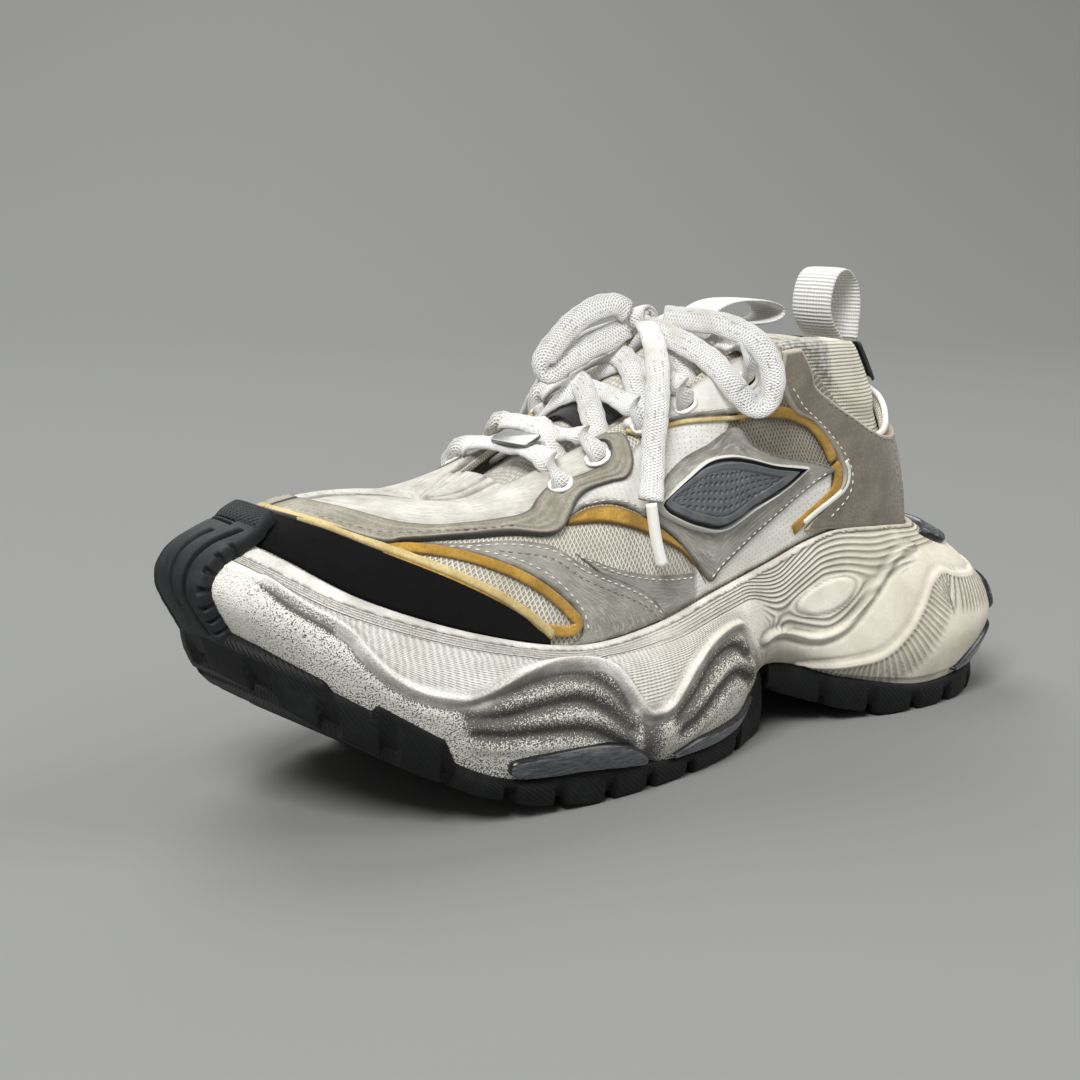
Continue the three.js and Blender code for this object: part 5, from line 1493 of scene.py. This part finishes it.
def badge_marks(gap):
    return dict(
        outline=smooth((1.3 - gap) / 0.3),
        groove=smooth((gap - 1.2) / 0.2) * smooth((2.7 - gap) / 0.3),
        field=smooth((gap - 5.4) / 0.8),
    )


def badge_height(gap):
    """The badge's groove inside its raised rim, and its sunk field."""
    return -1.5 * smooth((gap - 1.2) / 0.3) * smooth((2.8 - gap) / 0.4) - 0.5 * smooth((gap - 5.2) / 0.8)


both_sides("plain_badge", BADGE_BOTTOM, BADGE_UPPER, 4.1, badge_rubber, "badge_rubber",
           ["side_badge_*"], 220, 60, badge_marks, wave=badge_height, roll=0.8)

# Collar: foam padding in a cream ribbed knit, rising behind the ankle, with a black patch at the
# back and a webbing loop to pull the shoe on by.
collar_knit, tree, skin = finish_called("cream_rib_knit", "e6e0cd", 0.95, Sheen_Weight=0.35)
collar_map = own_map(tree)
melange = mark(tree, "melange")
rib_waves = waves(tree, collar_map, 1.9, 0.5, 2, "Y")
loop_waves = waves(tree, collar_map, 2.6, 0.6, 1)
stitch = maths(tree, "MULTIPLY", rib_waves, loop_waves)
soil = speckle(tree, 18, 5)
cream = tint(tree, steps(tree, soil, 0.4, 0.75), "ebe6d6", "d3cbb4")
mottle = tint(tree, steps(tree, speckle(tree, 1.6, 3), 0.4, 0.6), "c9c6bd", "8f8c84")
paint(tree, skin, tint(tree, maths(tree, "MULTIPLY", stitch, 0.45), tint(tree, melange, cream, mottle),
                       "a79f8b"))
relief(tree, skin, rib_waves, 0.4, 0.8)
relief(tree, skin, loop_waves, 0.2, 0.6)
REACH = 4.7
SECTION = [(0.42, 0), (0.52, 0), (0.62, 0), (0.70, 0), (0.78, 0), (0.86, 0), (0.93, 0), (0.965, 0.55),
           (0.985, 1.5), (0.994, 3.2),
           (0.98, 4.8), (0.93, 5.9), (0.84, 6.1), (0.72, 6.0), (0.6, 5.8), (0.52, 5.4)]
columns, rows = 200, 60
bm, a, b = grid(columns, rows)
station = REACH * (2 * a - 1)
profile = through(np.array(SECTION) * (1, 0.01), rows + 1)[0] / (1, 0.01)
j = nth(b, rows)
level, depth = profile[j, 0], profile[j, 1]
bulge = 1.9 * smooth((level - shell_edge(station) - 0.05) / 0.1) * (depth < 1)
crease = 0.35 * np.sin(station * 9 + 3 * np.sin(level * 12)) * smooth((level - 0.6) / 0.2) * (depth > 1)
points = off(last_point, station, level, -(WALL + 0.7) - depth + bulge + crease)
melange_of = smooth((np.abs(station) - 3.2) / 0.15) * smooth((4.5 - np.abs(station)) / 0.1)
lay(bm, points, 300, 110, melange=melange_of)
collar = piece("collar_padding_knit", bm, collar_knit, "collar_knit", ["collar_padding"])
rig.padded(collar, fill=0.6)

black_twill, tree, skin = finish_called("black_nylon_webbing", "0e0e0f", 0.75, Sheen_Weight=0.15)
web_map = own_map(tree)
wale = waves(tree, web_map, 3.2, 0.3, 2.0, "Y")
weft = waves(tree, web_map, 4.5, 0.3)
crossing = maths(tree, "MULTIPLY", wale, weft)
paint(tree, skin, tint(tree, steps(tree, crossing, 0.3, 0.9), "0b0b0c", "232325"))
relief(tree, skin, crossing, 0.3, 0.9)
TAB_LOW = whole([(-1.6, 0.81), (-1.5, 0.765), (-0.8, 0.78), (0, 0.80)])
TAB_TOP = whole([(-1.6, 0.90), (-1.5, 0.95), (-0.8, 0.955), (0, 0.955)])
bm, points, _, size = panel(last_point, TAB_LOW, TAB_TOP, 1.0, 120, 20, 0.8)
lay(bm, points, *size)
piece("heel_patch", bm, black_twill, "black_webbing", ["heel_tab"])

loop_web, tree, skin = finish_called("white_nylon_webbing", "efeeea", 0.8, Sheen_Weight=0.2)
loop_map = own_map(tree)
cord_waves = waves(tree, loop_map, 2.2, 0.8)
picks = waves(tree, loop_map, 3.4, 0.5, 1, "Y")
woven = maths(tree, "MULTIPLY_ADD", cord_waves, 0.7, maths(tree, "MULTIPLY", picks, 0.3))
clean = tint(tree, steps(tree, woven, 0.1, 0.8), "c6c5c1", "f4f3f0")
paint(tree, skin, tint(tree, steps(tree, speckle(tree, 10, 5), 0.55, 0.85), clean, "cfccc3"))
relief(tree, skin, woven, 0.4, 0.9)


def band_loop(name, route, width, thick, finish, slot, node):
    """A flat band along a route in the shoe's middle plane."""
    points = u([(a, 0, c) for a, c in route])
    bm, _, _ = ribbon(points, np.array([0.0, 1, 0]), thick, width)
    piece(name, bm, finish, slot, [node])


PULL_LOOP = [(65.6, 136), (72, 144), (73, 152), (70, 160), (64.5, 162.5), (59, 158), (57, 149),
             (58.2, 135.8)]
TONGUE_LOOP = [(135, 148.1), (122, 152.5), (107, 152.5), (98, 150.3), (96.5, 147), (103, 144.7),
               (117, 144.4), (131.6, 144.6)]
band_loop("pull_loop_band", PULL_LOOP, 20, 1.6, loop_web, "loop_webbing", "pull_loop")
band_loop("tongue_loop_band", TONGUE_LOOP, 18, 1.3, loop_web, "loop_webbing", "tongue_loop")

# Tongue: a padded blade of tufted white cloth, sewn in at the throat's front and arched over the
# instep, with a strap of black webbing across it that keeps the lace in place.
tongue_cloth, tree, skin = finish_called("white_tongue_cloth", "dedbd2", 0.9, Sheen_Weight=0.3)
tongue_map = own_map(tree)
tuft = dots(tree, tongue_map, 4.5, 0.3)
plain = tint(tree, steps(tree, speckle(tree, 12, 5), 0.4, 0.75), "e4e1d9", "b9b5aa")
paint(tree, skin, tint(tree, steps(tree, tuft, 0.2, 0.55), plain, "aaa69b"))
relief(tree, skin, tuft, 0.4, 0.8)
TONGUE = {"thick": 4.5, "tuck": 0.94, "crown": 16, "below": WALL + 0.9, "top": 4.9, "front": 11.3}


def tongue_point(station, across, out):
    """The tongue's top face, from the outer (0) to the inner throat line (1)."""
    station, across, out = together(station, across, out)
    under = TONGUE["below"] + 3.5 * smooth((station - 7) / 2.5) + out
    left = off(last_point, station, TONGUE["tuck"], -under)
    right = off(last_point, ROUND - station, TONGUE["tuck"], -under)
    rise = TONGUE["crown"] * smooth((10.6 - station) / 5.5) - 3
    arch = (1 - (2 * across - 1) ** 2) ** 2
    p = left + across[:, None] * (right - left)
    p[:, 2] += arch * rise
    return p


columns, rows = 160, 76
bm, a, b = grid(columns, rows)
j = nth(b, rows)
half = rows // 2
across = np.where(j <= half, j / half, 1 - (j - half) / half)
turned_edge = np.sin(np.pi * across) ** 0.35
out = np.where(j <= half, TONGUE["thick"] / 2 * (1 - turned_edge),
               TONGUE["thick"] / 2 * (1 + turned_edge))
station = TONGUE["top"] + a * (TONGUE["front"] - TONGUE["top"])
end = np.clip((a - 0) / 0.02, 0, 1)
out = TONGUE["thick"] / 2 + (out - TONGUE["thick"] / 2) * np.sqrt(1 - (1 - end) ** 2)
points = tongue_point(station, across, out)
lay(bm, points, 190, 110)
tongue = piece("tongue_blade", bm, tongue_cloth, "tongue_fabric", ["tongue"])
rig.padded(tongue, fill=0.5)

keep = np.linspace(0.18, 0.82, 15)
keeper_route = tongue_point(7.1, keep, 0) + np.array([0, 0, 1.2])
bm, _, _ = ribbon(keeper_route, np.array([-0.35, 0, 1.0]), 17, 1.2)
piece("keeper_strap", bm, black_twill, "black_webbing", ["lace_keeper"])

# Lacing: the same braided lace. One bar lies across the throat, then four rows cross over the tongue
# and go down through the eyelets.
EYELETS = [(8.27, 0.8), (7.6, 0.86), (6.78, 0.91), (6.1, 0.91), (5.1, 0.89)]
LIFT = 3.6
BAR_CROWN = 3.2
KEEPER_LIFT = 2.4
ALONG_THROAT = np.array([-1.0, 0, -0.45])
OVER = 2.4 + 0.8 + 1.0


def over_tongue(station, across, lift):
    return tongue_point(station, across, 0)[0] + np.array([0, 0, lift])


def into_eyelet(eyelet, side):
    """The lace's last stretch, over the throat's edge and down into the hole."""
    station = eyelet[0] if side < 0 else ROUND - eyelet[0]
    edge = off(last_point, station, THROAT, OVER)[0] + np.array([0, 0, 0.8])
    hole = off(last_point, station, eyelet[1] + 0.01, OVER - 0.3)[0]
    dive = off(last_point, station, eyelet[1] - 0.03, 1.6)[0]
    down = off(last_point, station, eyelet[1] - 0.035, -1.6)[0]
    return [edge, hole, dive, down]


def lace_strand(name, route, nodes):
    route = np.array(route)
    ahead = unit(np.gradient(route, axis=0))
    flat_up = unit(np.cross(ahead, np.broadcast_to(ALONG_THROAT, route.shape)))
    flat_up *= np.sign(flat_up[:, 2:3] + 1e-9)
    bm, _, _ = ribbon(route, flat_up, LACE_WIDTH, 2.1, 1.1, pucker=0.06)
    piece(name, bm, lace_cloth, "lace", nodes)


bar = [*reversed(into_eyelet(EYELETS[0], -1)), over_tongue(EYELETS[0][0], 0.5, LIFT + BAR_CROWN),
       *into_eyelet(EYELETS[0], 1)]
lace_strand("lace_first_bar", bar, ["lace_bar"])
for k in range(4):
    start, stop = EYELETS[k][0] - 0.3, EYELETS[k + 1][0]
    over = KEEPER_LIFT if k == 1 else 0
    for side, lift, name in ((-1, LIFT, "under"), (1, LIFT + 2.2, "over")):
        def share(x):
            return 0.5 - side * x
        route = [
            over_tongue(start, share(0.47), 0.4),
            over_tongue(0.9 * start + 0.1 * stop, share(0.34), 1.6 + over),
            over_tongue((3 * start + stop) / 4, share(0.18), lift - 0.2 + over),
            over_tongue((start + stop) / 2, 0.5, lift + over),
            over_tongue((start + 3 * stop) / 4, share(-0.22), lift + 0.6 + over),
            *into_eyelet(EYELETS[k + 1], side),
        ]
        lace_strand(f"lace_row_{k + 1}_{name}", route, [f"lace_cross_{k + 1}"])

# Eyelets: holes punched through the leather, each with a thin raised ring of white leather round the
# lace. The hole is a near-black sheet just over the leather, painted shade for the hole's inside.
painted_hole_shade, _, _ = finish_called("punched_hole_painted_shade", "0c0c0c", 0.9)
for k, (station, level) in enumerate(EYELETS):
    for inner in (False, True):
        angles = np.linspace(0, 2 * math.pi, 25)[:-1]
        loop_route = [(station + 0.17 * math.cos(t),
                       level - 0.02 + 0.036 * math.sin(t)) for t in np.append(angles, 0)]
        side = "inner" if inner else "outer"
        trim(f"eyelet_ring_{k + 1}_{side}", loop_route, 1.6, 1.0, 2.5, flap_leather, "flap_leather",
             inner, spaced=False, count=49)
        low = [(station + 0.15 * math.cos(t),
                level - 0.02 - 0.032 * abs(math.sin(t)) - 0.001) for t in np.linspace(math.pi, 0, 15)]
        top = [(station + 0.15 * math.cos(t),
                level - 0.02 + 0.032 * abs(math.sin(t)) + 0.001) for t in np.linspace(math.pi, 0, 15)]
        bm, points, _, size = panel(last_point, low, top, 2.55, 24, 8, 0.3, spaced=False, inner=inner,
                                    base=0)
        lay(bm, points, *size)
        piece(f"eyelet_hole_{k + 1}_{side}", bm, painted_hole_shade, "flap_leather")

# Tag: a thin plate of brushed steel with rounded corners, threaded on the first bar, left bare.
# It leans with the vamp.
steel, tree, skin = finish_called("brushed_steel", "8d8e8c", 0.35, 1.0)
brush = speckle(tree, 1.2, 4, (8, 0.4, 8))
gloss_from(tree, skin, brush, 0.3, 0.7, 0.25, 0.5)
relief(tree, skin, brush, 0.05, 0.5)
TAG = {"long": 20, "wide": 8, "thick": 1.2, "tilt": 0.42, "lift": LIFT + BAR_CROWN + 3.1}
bm = bmesh.new()
bmesh.ops.create_cube(bm, size=1)
bmesh.ops.scale(bm, vec=(TAG["wide"], TAG["long"], TAG["thick"]), verts=bm.verts)
corners = [e for e in bm.edges if abs(e.verts[0].co.z - e.verts[1].co.z) > 0.5]
bmesh.ops.bevel(bm, geom=corners, offset=1.6, segments=6, profile=0.5, affect="EDGES", material=-1)
bmesh.ops.bevel(bm, geom=bm.edges, offset=0.25, segments=2, profile=0.5, affect="EDGES", material=-1)
place = over_tongue(EYELETS[0][0], 0.5, TAG["lift"])
bmesh.ops.rotate(bm, cent=(0, 0, 0), matrix=Matrix.Rotation(-TAG["tilt"], 3, "Y"), verts=bm.verts)
bmesh.ops.translate(bm, vec=place, verts=bm.verts)
bmesh.ops.scale(bm, vec=(0.001, 0.001, 0.001), verts=bm.verts)
piece("lace_tag_plate", bm, steel, "tag_metal", ["lace_tag"], weld=0.001)

visual_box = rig.bounds()
with open("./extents.json", "w") as out:
    json.dump({"cad": [list(c) for c in cad_box], "visual": [list(c) for c in visual_box]}, out)
